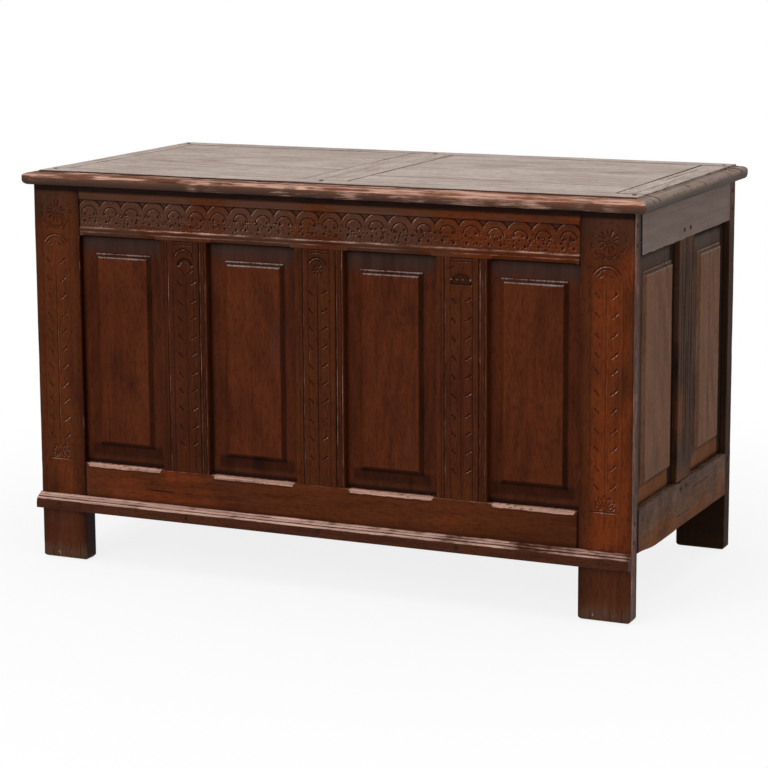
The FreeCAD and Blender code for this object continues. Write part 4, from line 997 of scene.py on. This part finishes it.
def panel(view, node, across, up, setback, slot, seed, tint, shifts, cracks=(), shadow=0.2, haze=0.7):
    """A fielded panel: a flat margin, a bevel that rises to a small fillet, and the flat field.

    The height is a function of the distance in from the opening's nearest edge. setback is how far, in
    millimetres, the margin lies behind the frame. tint is how red the wood is, shadow how much painted shadow
    darkens the margin, and haze how much grey lies on it. shifts moves the field's four edges, low across,
    high across, low up and high up, inwards by millimetres. cracks are upright ones: (start, end, place). The
    bevels get painted shade by how they face the light, and the top bevel two painted highlights."""
    front = view == "front"
    marks = [BEVEL_FOOT, FIELD_MARGIN - 2.5 * MM, FIELD_MARGIN - 0.6 * MM, FIELD_MARGIN]
    steps = [mark + d * MM for mark in marks for d in (-1.2, -0.4, 0, 0.4, 1.2)]
    shifts = mm(*shifts)
    field = (across[0] + shifts[0], across[1] - shifts[1], up[0] + shifts[2], up[1] - shifts[3])
    extra = [[field[k] + s for s in steps] + [field[k + 1] - s for s in steps] for k in (0, 2)]
    extra[0] += near([crack[2] for crack in cracks], 3)
    face = Face(view, lines(across[0] - GROOVE_REACH, across[1] + GROOVE_REACH, BOARD_STEP, extra=extra[0]),
                lines(up[0] - GROOVE_REACH, up[1] + GROOVE_REACH, BOARD_STEP * 1.3, extra=extra[1]))
    face.planed(0.5, seed)
    sides = (face.across - field[0], field[1] - face.across, face.up - field[2], field[3] - face.up)
    left, right, low, high = sides
    inward = np.minimum.reduce(sides)
    on_left, on_right, on_low, on_high = (np.isclose(inward, edge) * 1.0 for edge in sides)
    bevel = np.clip((inward - BEVEL_FOOT) / (FIELD_BEVEL - 1.5 * MM), 0, 1)
    fillet = ramp(inward, FIELD_MARGIN - 1.2 * MM, FIELD_MARGIN - 0.2 * MM)
    face.depth += setback * MM - (FIELD_RISE - FILLET_RISE) * bevel - FILLET_RISE * fillet
    # Painted highlights: two glints along the top bevel, at its foot and at the field's edge, and a faint one
    # on the right bevel.
    glints = np.maximum(ridge(inward - FIELD_MARGIN, 1.5), 0.9 * ridge(inward - BEVEL_FOOT - 1.5 * MM, 1.5))
    patchy = 0.9 + 0.3 * face.noise(25, seed + 6)
    face.wear_and_highlight = glints * patchy * (on_high + 0.22 * on_right * (inward > BEVEL_FOOT + 5 * MM))
    # Painted shade on the bevels by how they face the light, most on the right, then at the bottom and top,
    # least on the left; and painted shade within 12 mm of the frame.
    slope = ramp(inward, BEVEL_FOOT - 3 * MM, BEVEL_FOOT + 1 * MM)
    slope = slope * (1 - ramp(inward, FIELD_MARGIN - 2 * MM, FIELD_MARGIN))
    face.shade = 1 - slope * (0.12 * on_left + 0.62 * on_right + 0.5 * on_low + 0.45 * on_high)
    face.shade -= 0.3 * (1 - ramp_mm(inward, 0, 12)) * (1 - 0.5 * on_low)
    face.dust = haze * (1 - ramp_mm(high, 8, 60))
    face.dirt_and_shade = 0.8 * (1 - ramp_mm(inward, 0, 5))
    face.tint = tint * ramp(face.noise(80, seed + 4, u=0.4), -0.2, 0.6)
    if front:
        # Painted shadow on the margin, and more on the bottom margin under the field.
        lowest = (1 - ramp(low, BEVEL_FOOT - 2 * MM, FIELD_MARGIN - 1 * MM)) * ramp_mm(low, 6, 16)
        face.shade -= shadow * (inward < BEVEL_FOOT)
        face.shade -= 0.42 * lowest * ramp_mm(np.minimum(left, right), 8, 22)
        face.dust += 0.4 * haze * (1 - ramp_mm(low, 0, 50))
    else:
        # Painted shade where the side panel lies deep beside the posts and the muntin, and painted shadow on
        # the margins, little on the bottom one.
        deep = np.minimum(face.across - across[0], across[1] - face.across)
        face.shade *= 0.12 + 0.88 * ramp_mm(deep, 22, 34)
        face.shade -= shadow * (inward < BEVEL_FOOT) * (1 - 0.8 * on_low)
        face.tint = np.maximum(face.tint, 0.75 * on_low * (inward < BEVEL_FOOT + 5 * MM))
    face.shade -= 0.14 * ramp(face.noise(22, seed + 7, u=0.25), 0.0, 0.6)
    face.shade -= 0.22 * ramp(face.noise(45, seed + 8, u=0.5), 0.25, 0.7)
    face.dust = np.clip(face.dust + 0.5 * haze * ramp(face.noise(90, seed + 9, u=0.6), 0.2, 0.8), 0, 1)
    for index, (start, end, place) in enumerate(cracks):
        face.split(start, end, place, 1.3, 2, seed + index, upright=True)
    face.sink()
    rings = [(setback + PANEL_EDGE - 2, 0, 0), (setback + PANEL_EDGE, 0.5, 0)]
    build(face, node, slot, True, rings, seed)


FRONT_PANELS = (("far_left", 0.12, (-2, -5, 5, 2)), ("mid_left", 0.15, (1, -4, 5, 2)),
                ("mid_right", 0.2, (-3, -1, 5, 2)), ("far_right", 0.32, (-10, -5, 5, 2)))
for order, (panel_name, panel_tint, panel_shifts) in enumerate(FRONT_PANELS):
    panel("front", "front_panel_" + panel_name, OPENINGS[order], (BOTTOM_RAIL_TOP, TOP_RAIL_LOW), 13,
          "oak_front_panel", 200 + 10 * order, panel_tint, panel_shifts)

# ---------------------------------------------------------------- base moulding

# The section from its lower front edge up: millimetres behind the nose and over the lower edge, and how pale
# it is, rubbed wear together with painted highlights on the parts that face up. A flat face, a rounded arris,
# a quirk, a round, a step and a slope up to the chest.
MOULDING_SECTION = ((0.9, 0, 0.2), (0.2, 0.9, 0.2), (0, 3, 0.1), (0, 6, 0.1), (0, 9, 0.1), (0, 12, 0.1),
                    (0, 15, 0.1), (0, 17.5, 0.1), (0.1, 18.6, 0.5), (0.6, 19.6, 1.1), (1.8, 21.4, 1.2),
                    (3.6, 22.5, 0.8), (4.4, 22.3, 0.0), (5.6, 22.5, 0.0), (6.0, 23.9, 1.1), (7.4, 25.4, 1.3),
                    (9.4, 26.2, 0.9), (10.4, 26.1, 0.6), (11.4, 26.2, 0.6), (11.8, 27.2, 0.9),
                    (14.0, 28.8, 1.0))


def base_moulding(seed):
    """A run of moulding: its section carried along X, nibbled by noise, with its ends closed by fans."""
    profile = [(MOULDING_NOSE + out * MM, MOULDING_LOW + up * MM, wear_and_highlight) for out, up, wear_and_highlight in MOULDING_SECTION]
    profile += [(MOULDING_NOSE + 16.5 * MM, MOULDING_TOP - 0.5 * MM, 0.5),
                (FRONT, MOULDING_TOP - 0.3 * MM, 0.0), (FRONT, MOULDING_LOW + 9 * MM, 0.0),
                (FRONT, MOULDING_LOW, 0.0)]
    profile = np.array(profile)
    run = lines(MOULDING_LEFT, MOULDING_RIGHT, 2.2 * MM)
    along, index = np.meshgrid(run, np.arange(len(profile)), indexing="ij")
    out, height, section_wear_and_highlight = (profile[index, k] for k in range(3))
    columns, rows = along.shape
    exposed = ramp_mm(FRONT - out, 0, 4)
    bite = 0.6 * MM * (0.5 + 0.5 * rough(along, 0 * height, 60 * MM, seed))
    bite = bite + 0.9 * MM * ramp(rough(along, 0 * height, 17 * MM, seed + 1), 0.5, 0.9)
    bite = bite + arris(np.minimum(along - run[0], run[-1] - along), 1.8 * MM)
    out = out + bite * exposed * ramp_mm(height - MOULDING_LOW, 10, 18) + 0.3 * MM * exposed
    height = height - 0.6 * bite * exposed * ramp_mm(height - MOULDING_LOW, 12, 18)
    middles = [(end, (MOULDING_NOSE + FRONT) / 2, MOULDING_LOW + 9 * MM) for end in (run[0], run[-1])]
    points = np.vstack([np.stack([along, out, height], axis=-1).reshape(-1, 3), middles])
    grid = np.arange(columns * rows).reshape(columns, rows)
    after = np.roll(grid, -1, axis=1)
    quads = np.stack([grid[:-1], after[:-1], after[1:], grid[1:]], axis=-1).reshape(-1, 4)
    fans = np.vstack([np.column_stack([after[0], grid[0], np.full(rows, columns * rows)]),
                      np.column_stack([grid[-1], after[-1], np.full(rows, columns * rows + 1)])])
    fade = (1.0 - 0.4 * ramp(along, 0.1, 0.5)) * (0.85 + 0.5 * rough(along, height, 30 * MM, seed + 2))
    wear_and_highlight = np.append((section_wear_and_highlight * fade).ravel(), [0.2, 0.2])
    # The quirks are darkened, with grease in them and painted shade.
    in_quirk = (section_wear_and_highlight == 0.0) & (index < rows - 3)
    dirt_and_shade = np.append(0.55 * in_quirk.ravel(), [0, 0])
    marks = np.column_stack([np.clip(wear_and_highlight, 0, 1.4), dirt_and_shade, 0 * dirt_and_shade, 0 * dirt_and_shade + 0.95, 0 * dirt_and_shade])
    finished("base_moulding", points, quads, fans, marks, points[:, [2, 0, 1]], "oak_moulding")


base_moulding(240)

# ---------------------------------------------------------------- sides


def side_rail(side, place, seed):
    """A rail of a side wall. The bottom one has a ragged top edge and a lower edge that waves."""
    bottom = place == "bottom"
    low, high = (SIDE_BOTTOM_LOW, SIDE_BOTTOM_TOP) if bottom else (SIDE_TOP_LOW, BODY_TOP)
    face = Face(side, lines(FRONT_INNER, BACK_INNER, SIDE_STEP), lines(low, high, 2 * MM))
    face.planed(0.9, seed)
    run, up = face.across, face.up
    if bottom:
        for index, height in enumerate((low + 24 * MM, low + 63 * MM)):
            face.split((-60 + 110 * index) * MM, (70 + 120 * index) * MM, height, 1.2, 1.0, seed + index)
    face.settle()
    face.ease((0.6, 0.6, 2.2, 2.5 if bottom else 1), seed + 3, rub_and_highlight=0.25)
    # Darker along the front end, at the joint with the corner post.
    face.soil_and_shade(1.1 * (1 - ramp_mm(run - FRONT_INNER, 6, 11)))
    share = (up - low) / (high - low)
    if bottom:
        torn = 2.6 * MM * rough(run, 0 * run, 16 * MM, seed + 5)
        torn = torn - 5.0 * MM * ramp(run, -0.1, BACK_INNER) - 1.5 * MM
        under = 8 * MM * (1 - ramp(run, FRONT_INNER, -0.15))
        under = under + 2.5 * MM * rough(run, 0 * run + 1, 150 * MM, seed + 6)
        face.tint = 0.75 * (1 - ramp(share + 0.3 * face.noise(60, seed + 7), 0.1, 0.7))
        face.dust = 0.4 * ramp(share + 0.3 * face.noise(70, seed + 8), 0.3, 0.9)
        face.shade = 0.72 - 0.3 * face.noise(26, seed + 9) - 0.2 * ramp(share, 0.4, 0.9)
    else:
        torn = 0
        under = 1.5 * MM * rough(run, 0 * run, 120 * MM, seed + 6)
        under = under + 1.2 * MM * rough(run, 0 * run + 3, 14 * MM, seed + 4)
        face.dust = 0.95 - 0.4 * ramp(face.noise(80, seed + 7), 0.1, 0.7) * (1 - share)
        face.shade = 0.98 - 0.1 * ramp(face.noise(30, seed + 8, a=0.4), 0.0, 0.6)
        # A painted shadow of the lid's overhang along the top of the rail.
        face.shade -= 0.3 * ramp(share, 0.86, 1.0)
    face.up = up + share ** 3 * torn + (1 - share) ** 3 * under
    build(face, f"{side}_{place}_rail", "oak_side", False, member_rings(SIDE_RAIL_THICK), seed)


def side_muntin(side, seed):
    """The upright between the two side panels: dark and weathered, with deep lengthwise cracks."""
    low, high = SIDE_MUNTIN
    cracks = [low + share * (high - low) for share in (0.22, 0.38, 0.55, 0.7, 0.86)]
    ups = lines(SIDE_BOTTOM_TOP, SIDE_TOP_LOW, 2.8 * MM)
    face = Face(side, lines(low, high, 2.4 * MM, extra=near(cracks, 3.5)), ups)
    face.planed(1.2, seed)
    face.depth += 0.5 * MM * (0.5 + 0.5 * face.noise(6, seed + 6, u=0.12))
    jitter = np.random.default_rng(seed)
    for index, place in enumerate(cracks):
        start = (180 + jitter.uniform(0, 160)) * MM
        end = start + (260 + jitter.uniform(0, 160)) * MM
        face.split(start, end, place, 1.7, 2.2, seed + index, upright=True)
    face.settle()
    face.ease((1.6, 1.6, 0.5, 0.5), seed + 8, rub_and_highlight=0.12)
    knot = np.hypot((face.across - low - 20 * MM) / (26 * MM), (face.up - 330 * MM) / (70 * MM))
    face.tint = np.maximum(0.9 * np.exp(-knot ** 2), 0.6 * (1 - ramp_mm(face.up - SIDE_BOTTOM_TOP, 0, 70)))
    face.shade = 0.32 - 0.26 * ramp(face.noise(9, seed + 9, u=0.1), -0.1, 0.5)
    face.shade += 0.15 * ramp_mm(face.up - SIDE_TOP_LOW, -70, 0)
    face.shade = np.maximum(face.shade, 0.75 * face.tint)
    build(face, f"{side}_muntin", "oak_side", True, member_rings(SIDE_RAIL_THICK), seed)


def rear_stile(side, seed):
    """A rear corner post, seen mostly on the side of the chest; its outer rear corner is rounded, rubbed and
    painted with a highlight along it.
    """
    node = f"rear_{side}_stile"
    low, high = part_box(node)
    ups = lines(low.z, high.z, 3 * MM, low_steps=np.array(mm(0, 0.5, 1.2, 2, 3, 4.2, 5.5, 7, 9)))
    face = Face(side, lines(low.y, high.y, SIDE_STEP), ups)
    face.planed(0.8, seed)
    face.settle()
    foot_marks(face, seed + 2)
    face.ease((1.2, 4, 1.5, 1), seed + 3, rub_and_highlight=0.3)
    # A painted highlight along the rounded rear corner, where it catches the light.
    face.rub_and_highlight(0.5 * ridge(face.across - high.y + 2 * MM, 4))
    top = ramp_mm(face.up - BODY_TOP, -160, 0)
    face.shade = 0.18 + 0.1 * face.noise(16, seed + 5, u=0.2) + 0.35 * top
    # Painted shade on the foot, under the chest.
    face.shade -= 0.08 * (face.up < SIDE_BOTTOM_LOW)
    face.dust = np.maximum(0.1 * face.dust, 0.5 * top)
    width = (high.x - low.x) / MM
    # The rings lighten the back wall to match the back and keep it as the lit wall; the other walls, such as
    # the foot's face towards the front, get painted shade.
    rings = [(4.5, 0, 0.15, 1.8), (9, 0, 0, 2.6), (20, 0, 0, 3.2), (50, 0, 0, 3.2)]
    rings += [(width - inset, 0, 0, 3.2) for inset in (9, 7, 5.5, 4.2, 3, 2, 1.2)]
    rings += [(width - 0.3, 0.3, 0.1, 3.2), (width, 1, 0.1, 3.2)]
    build(face, node, "oak_side", True, rings, seed, bend=rounded_foot(low, high, 9 * MM), worn_and_lit_end=1)


SIDE_OPENING = (SIDE_BOTTOM_TOP, SIDE_TOP_LOW)
for order, wall in enumerate(("right", "left")):
    base = 300 + 60 * order
    side_rail(wall, "top", base)
    side_rail(wall, "bottom", base + 10)
    side_muntin(wall, base + 20)
    panel(wall, f"{wall}_panel_front", (FRONT_INNER, SIDE_MUNTIN[0]), SIDE_OPENING, 11, "oak_side", base + 30,
          0.35, (13, -11, 0, 2), ((0.56, 0.69, -0.098),), shadow=0.66, haze=0.5)
    panel(wall, f"{wall}_panel_rear", (SIDE_MUNTIN[1], BACK_INNER), SIDE_OPENING, 11, "oak_side", base + 40,
          0.3, (21, 4, 0, 6), ((0.2, 0.7, 0.168),), shadow=0.62, haze=0.5)
    rear_stile(wall, base + 50)

# ---------------------------------------------------------------- lid

NOSE, BEAD, BEAD_DROP, BEAD_TOP = mm(27, 19.5, 11, 3)
BEAD_GROOVE, QUIRK = mm(20.3, 25)
NOSE_STEPS = np.concatenate([BEAD * (1 - np.cos(np.linspace(0, QUARTER, 14))),
                             mm(20.0, 20.4, 21.0, 22.5, 24.2, 24.8, 25.2, 25.8, 26.4, 26.9, 27.4, 28.5)])
# The rings under the moulded edges: how deep, how far in, how rubbed pale, and how light, which paints shade
# on the underside of the nose, darker further down.
NOSE_RINGS = [(12.5, 0.0, 0.3, 0.85), (14, 0.1, 0.25, 0.7), (16, 0.3, 0.12, 0.5), (18.5, 0.9, 0.1, 0.45),
              (21.5, 2.1, 0.1, 0.35), (24, 3.7, 0.0, 0.25), (26, 5.9, 0.0, 0.15), (27.3, 8.1, 0.0, 0.1),
              (28, 10.5, 0.0, 0.1)]


def nose_drop(distance):
    """The edge moulding's fall at a distance in from the lid's edge: a quarter-ellipse bead, a fine groove,
    a narrow fillet that slopes in to the quirk, and the flat top beyond it."""
    round_part = 1 - np.sqrt(np.clip(1 - (1 - np.clip(distance / BEAD, 0, 1)) ** 2, 0, 1))
    bead = BEAD_TOP + (BEAD_DROP - BEAD_TOP) * round_part
    fillet = 2.8 * MM - 0.4 * MM * ramp_mm(distance, 20.5, 24.5)
    drop = np.where(distance < BEAD_GROOVE, bead, fillet) + 1.1 * MM * round_cut(distance - BEAD_GROOVE, 1.8)
    quirk = 3.2 * MM * ramp_mm(distance - QUIRK, -0.4, 0.2)
    drop = np.where(distance - QUIRK > -0.6 * MM, np.maximum(fillet, quirk), drop)
    return drop * (1 - ramp_mm(distance - NOSE, -0.6, 0.2))


def rounded_corners(points):
    """Rounds the lid's corners in plan, the rear ones more."""
    radius = np.where(points[:, 1] > 0, 11 * MM, 6 * MM)
    points = points.copy()
    core_x = np.clip(points[:, 0], LID_LEFT + radius, LID_RIGHT - radius)
    core_y = np.clip(points[:, 1], LID_FRONT + radius, LID_REAR - radius)
    points[:, 0], points[:, 1] = drawn_in(core_x, core_y, points[:, 0], points[:, 1], radius)
    return points


def edge_marks(face, node, noses, gaps, inward, moulded, on_nose, seed):
    """The finish of a lid piece: its dark joints, its moulded edges, and the crazed board on the right."""
    for nose, gap, edge in zip(noses, gaps, face.edges()):
        if not nose:
            face.soil_and_shade(min(1, 0.4 + gap) * (1 - ramp_mm(edge, 0.3, 1.6 + 2 * gap)))
    in_front = inward == face.up - LID_FRONT
    dark_lines = ramp_mm(inward - QUIRK, -0.4, 0.4) * (1 - ramp_mm(inward - NOSE, 0, 0.8))
    dark_lines = dark_lines * np.where(in_front, 1, 0.35 + 0.5 * face.noise(25, seed + 14))
    dark_lines = dark_lines + 0.7 * ridge(inward - BEAD_GROOVE, 0.8)
    nick_places = np.where(in_front, (face.across * 0.25, inward * 2.5), (face.across * 1.2, face.up * 3))
    nicks = ramp(rough(*nick_places, 13 * MM, seed + 7), 0.25, 0.55)
    face.soil_and_shade(np.clip(dark_lines + on_nose * 0.6 * nicks, 0, 1) * 0.95)
    along = face.across if node == "lid_front_rail" else face.up
    round_it = moulded + 0.8 * inward
    streak = 0.8 * rough(along * 0.02, round_it, 1.3 * MM, seed + 8)
    streak = streak + 0.3 * rough(along, round_it, 60 * MM, seed + 9)
    # The bead is rubbed pale and painted with highlights where its round catches the light, in streaks along
    # it, most on the front.
    pale = np.where(in_front, 0.5 + 1.0 * streak, 0.25 + 0.3 * streak)
    face.wear_and_highlight = np.maximum(face.wear_and_highlight * (1 - on_nose), on_nose * pale)
    right_end = np.where(in_front, 0.0, on_nose * (face.across > 0))
    red_patches = right_end * ramp(face.noise(20, seed + 12), 0.35, 0.5) * (face.up > 0.12)
    face.tint = np.maximum(np.where(in_front, on_nose, 0.0), red_patches)
    for place in (-0.262, -0.05, 0.2):
        ragged = place + 1.5 * MM * face.noise(8, seed + 13, u=0)
        face.soil_and_shade(right_end * ridge(face.up - ragged, 1.5))
    face.dust = np.where(in_front, 0.0, on_nose * 0.9)
    face.grey(0.35 * ramp(face.noise(60, seed + 9), 0.0, 0.6) * (1 - on_nose))
    face.shade = 1 - on_nose * in_front * (0.05 + 0.4 * (1 - ramp(face.across, -0.2, 0.45)))
    if node == "lid_right_stile":
        face.soil_and_shade(0.45 * ramp(face.noise(5, seed + 15, u=0.15), 0.25, 0.6) * (1 - on_nose))


def lid_piece(node, across, up, upright, noses, gaps, cracks, seed, thick=LID_THICK, step=2.6):
    """One member or board of the lid. noses says which edges are moulded and gaps how far each joint edge
    stands back, both for low across, high across, low up and high up; cracks are (start, end, place)."""
    ends = [NOSE_STEPS if nose else EDGE_STEPS for nose in noses]
    inset, step = mm(*gaps), step * MM
    fine = near([crack[2] for crack in cracks], 3)
    extra = (fine, ()) if upright else ((), fine)
    across_lines = lines(across[0] + inset[0], across[1] - inset[1], step, ends[0], ends[1], extra[0])
    up_lines = lines(up[0] + inset[2], up[1] - inset[3], step * 0.8, ends[2], ends[3], extra[1])
    face = Face("top", across_lines, up_lines)
    inward = np.minimum(np.minimum(face.across - LID_LEFT, LID_RIGHT - face.across), face.up - LID_FRONT)
    face.planed(0.7, seed)
    aside, along = (face.across, face.up) if upright else (face.up, face.across)
    face.depth += 0.25 * MM * (1 + rough(aside, along * 0.06, 9 * MM, seed + 1))
    for index, (start, end, place) in enumerate(cracks):
        face.split(start, end, place, 1.3, 1.8, seed + index, upright=upright)
    face.sink()
    moulded = nose_drop(inward)
    on_nose = 1 - ramp_mm(inward - NOSE, -1, 1)
    chipped = 1.5 * MM * ramp(face.noise(22, seed + 2), 0.35, 0.8)
    chipped = chipped + 0.7 * MM * (0.5 + 0.5 * face.noise(9, seed + 3))
    face.depth += moulded + on_nose * chipped * ramp_mm(inward, 0, 3)
    face.ease([0 if nose else 0.9 for nose in noses], seed + 4, rub_and_highlight=0.1)
    edge_marks(face, node, noses, gaps, inward, moulded, on_nose, seed)
    rings = [(drop, tuple(reach * nose for nose in noses), wear_and_highlight, shade)
             for drop, reach, wear_and_highlight, shade in NOSE_RINGS if drop < thick - 0.1]
    rings += [(thick, tuple(11 if nose else 0.6 for nose in noses), 0.0, 0.6)]
    build(face, node, "oak_lid", upright, rings, seed, body="lid", bend=rounded_corners)


TIGHT, SNUG, OPEN = 0.1, 0.35, 0.7
WIDTH, DEPTH = (LID_LEFT, LID_RIGHT), (LID_FRONT_JOINT, LID_REAR_JOINT)
NO_NOSE = (False,) * 4
lid_piece("lid_front_rail", WIDTH, (LID_FRONT, LID_FRONT_JOINT), False, (True, True, True, False),
          (0, 0, 0, TIGHT), ((-0.2, 0.25, -0.268), (0.3, 0.6, -0.256)), 400)
lid_piece("lid_rear_rail", WIDTH, (LID_REAR_JOINT, LID_REAR), False, (True, True, False, False),
          (0, 0, OPEN, 0), ((-0.5, -0.1, 0.3), (0.15, 0.6, 0.285)), 410, step=3.2)
lid_piece("lid_left_stile", (LID_LEFT, LID_LEFT_JOINT), DEPTH, True, (True, False, False, False),
          (0, SNUG, SNUG, SNUG), ((-0.2, 0.2, -0.6),), 420)
lid_piece("lid_right_stile", (LID_RIGHT_JOINT, LID_RIGHT), DEPTH, True, (False, True, False, False),
          (OPEN, 0, OPEN, OPEN), ((-0.22, 0.1, 0.59), (-0.05, 0.26, 0.572)), 430)
lid_piece("lid_muntin", LID_MUNTIN, DEPTH, True, NO_NOSE, (SNUG, OPEN, SNUG, SNUG),
          ((-0.24, 0.05, -0.03),), 440)
for board, board_across, board_up, board_gaps, board_cracks, board_seed in (
        ("left", (LID_LEFT_JOINT, LID_MUNTIN[0]), DEPTH, (SNUG, SNUG, TIGHT, OPEN),
         ((-0.55, -0.2, 0.12), (-0.4, -0.08, -0.05), (-0.56, -0.3, -0.16)), 450),
        ("right_front", (LID_MUNTIN[1], LID_RIGHT_JOINT), (LID_FRONT_JOINT, LID_SPLIT),
         (OPEN, OPEN, TIGHT, SNUG), ((0.05, 0.4, -0.2),), 460),
        ("right_rear", (LID_MUNTIN[1], LID_RIGHT_JOINT), (LID_SPLIT, LID_REAR_JOINT),
         (OPEN, OPEN, SNUG, OPEN), ((0.06, 0.5, -0.07), (0.2, 0.53, 0.09), (0.04, 0.3, 0.2)), 470)):
    lid_piece("lid_board_" + board, board_across, board_up, False, NO_NOSE, board_gaps, board_cracks,
              board_seed, thick=BOARD_THICK, step=3.2)

# ---------------------------------------------------------------- pegs of the front

PEG_SIDES = 12
PEG_RADIUS = 3.9 * MM


def peg_places(node, view):
    """The middle of each peg of a node on its wall: the mean of the points within 9 mm of its first point."""
    a, b = VIEWS[view][:2]
    spots = np.array([(vertex.co[a], vertex.co[b]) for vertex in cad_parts[node].data.vertices])
    places = []
    while len(spots):
        same = np.hypot(*(spots - spots[0]).T) < 9 * MM
        places.append(spots[same].mean(axis=0))
        spots = spots[~same]
    return places


def peg_heads(node, view, length, seed):
    """Riven pegs: uneven twelve-sided rods with domed ends. Where the wall is sunk, the end lies deeper."""
    step = np.arange(PEG_SIDES)
    angle = 2 * math.pi * step / PEG_SIDES
    shape = ((0.45, 0.25), (0.8, 0.35), (0.97, 0.9), (0.97, 3.0), (0.95, length))
    points, quads, fans = [], [], []
    jitter = np.random.default_rng(seed)
    for place in peg_places(node, view):
        sunk = 2.6 if TOP_RAIL_LOW < place[1] < BAND_LOW + 8 * MM else 0.1
        radius = PEG_RADIUS * (1 + 0.1 * jitter.uniform(-1, 1, PEG_SIDES))
        start = len(points)
        for share, deep in shape + ((0, 0.2), (0, length)):
            across = place[0] + share * radius * np.cos(angle)
            up = place[1] + share * radius * np.sin(angle)
            ring = placed(view, across, up, np.full(PEG_SIDES, (sunk + deep) * MM))
            points += list(ring if share else ring[:1])
        rings = [start + PEG_SIDES * level + step for level in range(len(shape))]
        for ring, lower in zip(rings, rings[1:]):
            quads.append(np.column_stack([ring, lower, np.roll(lower, -1), np.roll(ring, -1)]))
        tip = start + PEG_SIDES * len(shape)
        first, last = rings[0], rings[-1]
        fans.append(np.column_stack([first, np.roll(first, -1), np.full(PEG_SIDES, tip)]))
        fans.append(np.column_stack([np.roll(last, -1), last, np.full(PEG_SIDES, tip + 1)]))
    points = np.array(points)
    marks = np.tile([0.0, 0.0, 0.0, 1.0, 0.0], (len(points), 1))
    finished(node, points, np.vstack(quads), np.vstack(fans), marks, points, "oak_peg", flat_fans=False)


peg_heads("front_pegs", "front", 25, 500)

# ---------------------------------------------------------------- finishes of pieces that stay as modelled

KEPT = {
    ALONG_X: ["back_top_rail", "back_bottom_rail"],
    ALONG_Y: [f"floor_board_{number}" for number in range(1, 6)],
    ALONG_Z: ["back_muntin_left", "back_muntin_right", "back_panel_left", "back_panel_centre",
              "back_panel_right"],
    OAK["oak_peg"]: ["back_pegs", "left_pegs", "right_pegs", "lid_pegs"],
    IRON: ["hinge_leaf_left", "hinge_leaf_right", "hinge_strap_left", "hinge_strap_right", "hinge_pins",
           "leaf_nails", "strap_nails"],
    RUSTED: ["moulding_nails"],
}
for finish, names in KEPT.items():
    for name in names:
        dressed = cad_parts[name].data
        dressed.materials.clear()
        dressed.materials.append(finish)

# ---------------------------------------------------------------- floor, light and camera

FLOOR_CORNERS = 96
FLOOR_REACH = 45.0
SKY_LIGHT = 0.42


def new_object(name, data, place=(0, 0, 0)):
    """Puts a mesh, lamp or camera into the scene."""
    made = bpy.data.objects.new(name, data)
    made.location = place
    bpy.context.scene.collection.objects.link(made)
    return made


def pale_floor():
    """A round pale floor. Away from the chest a camera, glossy or transmission ray sees plain white, and
    close to it a share of the lit floor stays, so that the chest keeps its shadow."""
    mesh = bpy.data.meshes.new("pale_floor")
    angle = 2 * math.pi * np.arange(FLOOR_CORNERS) / FLOOR_CORNERS
    rim = np.column_stack([FLOOR_REACH * np.cos(angle), FLOOR_REACH * np.sin(angle), 0 * angle - 0.5 * MM])
    mesh.from_pydata(rim.tolist(), [], [list(range(FLOOR_CORNERS))])
    material = bpy.data.materials.new("pale_floor")
    material.use_nodes = True
    tree = material.node_tree
    lit = tree.nodes["Principled BSDF"]
    lit.inputs["Base Color"].default_value = colour((0.86, 0.86, 0.86))
    lit.inputs["Roughness"].default_value = 0.9
    lit.inputs["Specular IOR Level"].default_value = 0.0
    white = add(tree, "Emission", {"Color": WHITE, "Strength": 1.0})
    seen = rays_seen(tree)
    where = add(tree, "TexCoord").outputs["Object"]
    away = add(tree, "VectorMath", {0: where}, operation="LENGTH").outputs["Value"]
    share = calc(tree, "MULTIPLY", seen, between(tree, away, 0.5, 1.7, 0.84, 1.0))
    both = add(tree, "MixShader", {0: share, 1: lit.outputs[0], 2: white.outputs[0]})
    tree.links.new(both.outputs[0], tree.nodes["Material Output"].inputs["Surface"])
    mesh.materials.append(material)
    new_object("pale_floor", mesh)


def sky(strength):
    """An even sky: white for what is seen and mirrored, and weaker for the light it gives."""
    world = bpy.data.worlds.new("soft_sky")
    bpy.context.scene.world = world
    world.use_nodes = True
    tree = world.node_tree
    background = tree.nodes["Background"]
    background.inputs["Color"].default_value = WHITE
    light = calc(tree, "MULTIPLY_ADD", rays_seen(tree), 1.0 - strength, strength)
    tree.links.new(light, background.inputs["Strength"])


def softbox(name, place, target, size, power):
    """A square lamp that faces a target."""
    light = bpy.data.lights.new(name, "AREA")
    light.shape = "SQUARE"
    light.size = size
    light.energy = power
    away = np.subtract(target, place)
    tilt = math.pi - math.acos(away[2] / np.linalg.norm(away))
    new_object(name, light, place).rotation_euler = (tilt, 0, math.atan2(away[1], away[0]) - QUARTER)


def chest_camera():
    """The camera: its place, its turn to the left of straight ahead, its tilt down and its slight roll."""
    camera = bpy.data.cameras.new("camera")
    camera.lens = 117.921
    camera.sensor_width = 36
    camera.shift_y = -0.0508
    holder = new_object("camera", camera, (2.02475, -4.44622, 1.29147))
    turns = (Matrix.Rotation(0.42801, 3, "Z"), Matrix.Rotation(QUARTER - 0.17637, 3, "X"),
             Matrix.Rotation(-0.0053, 3, "Z"))
    holder.rotation_euler = (turns[0] @ turns[1] @ turns[2]).to_euler()
    bpy.context.scene.camera = holder


pale_floor()
sky(SKY_LIGHT)
softbox("overhead_softbox", (0.2, -0.6, 3.4), (0, 0, 0.5), 3.0, 55)
softbox("front_softbox", (-1.4, -4.4, 2.4), (0, -0.2, 0.4), 2.6, 95)
chest_camera()
bpy.context.scene.view_settings.view_transform = "Standard"
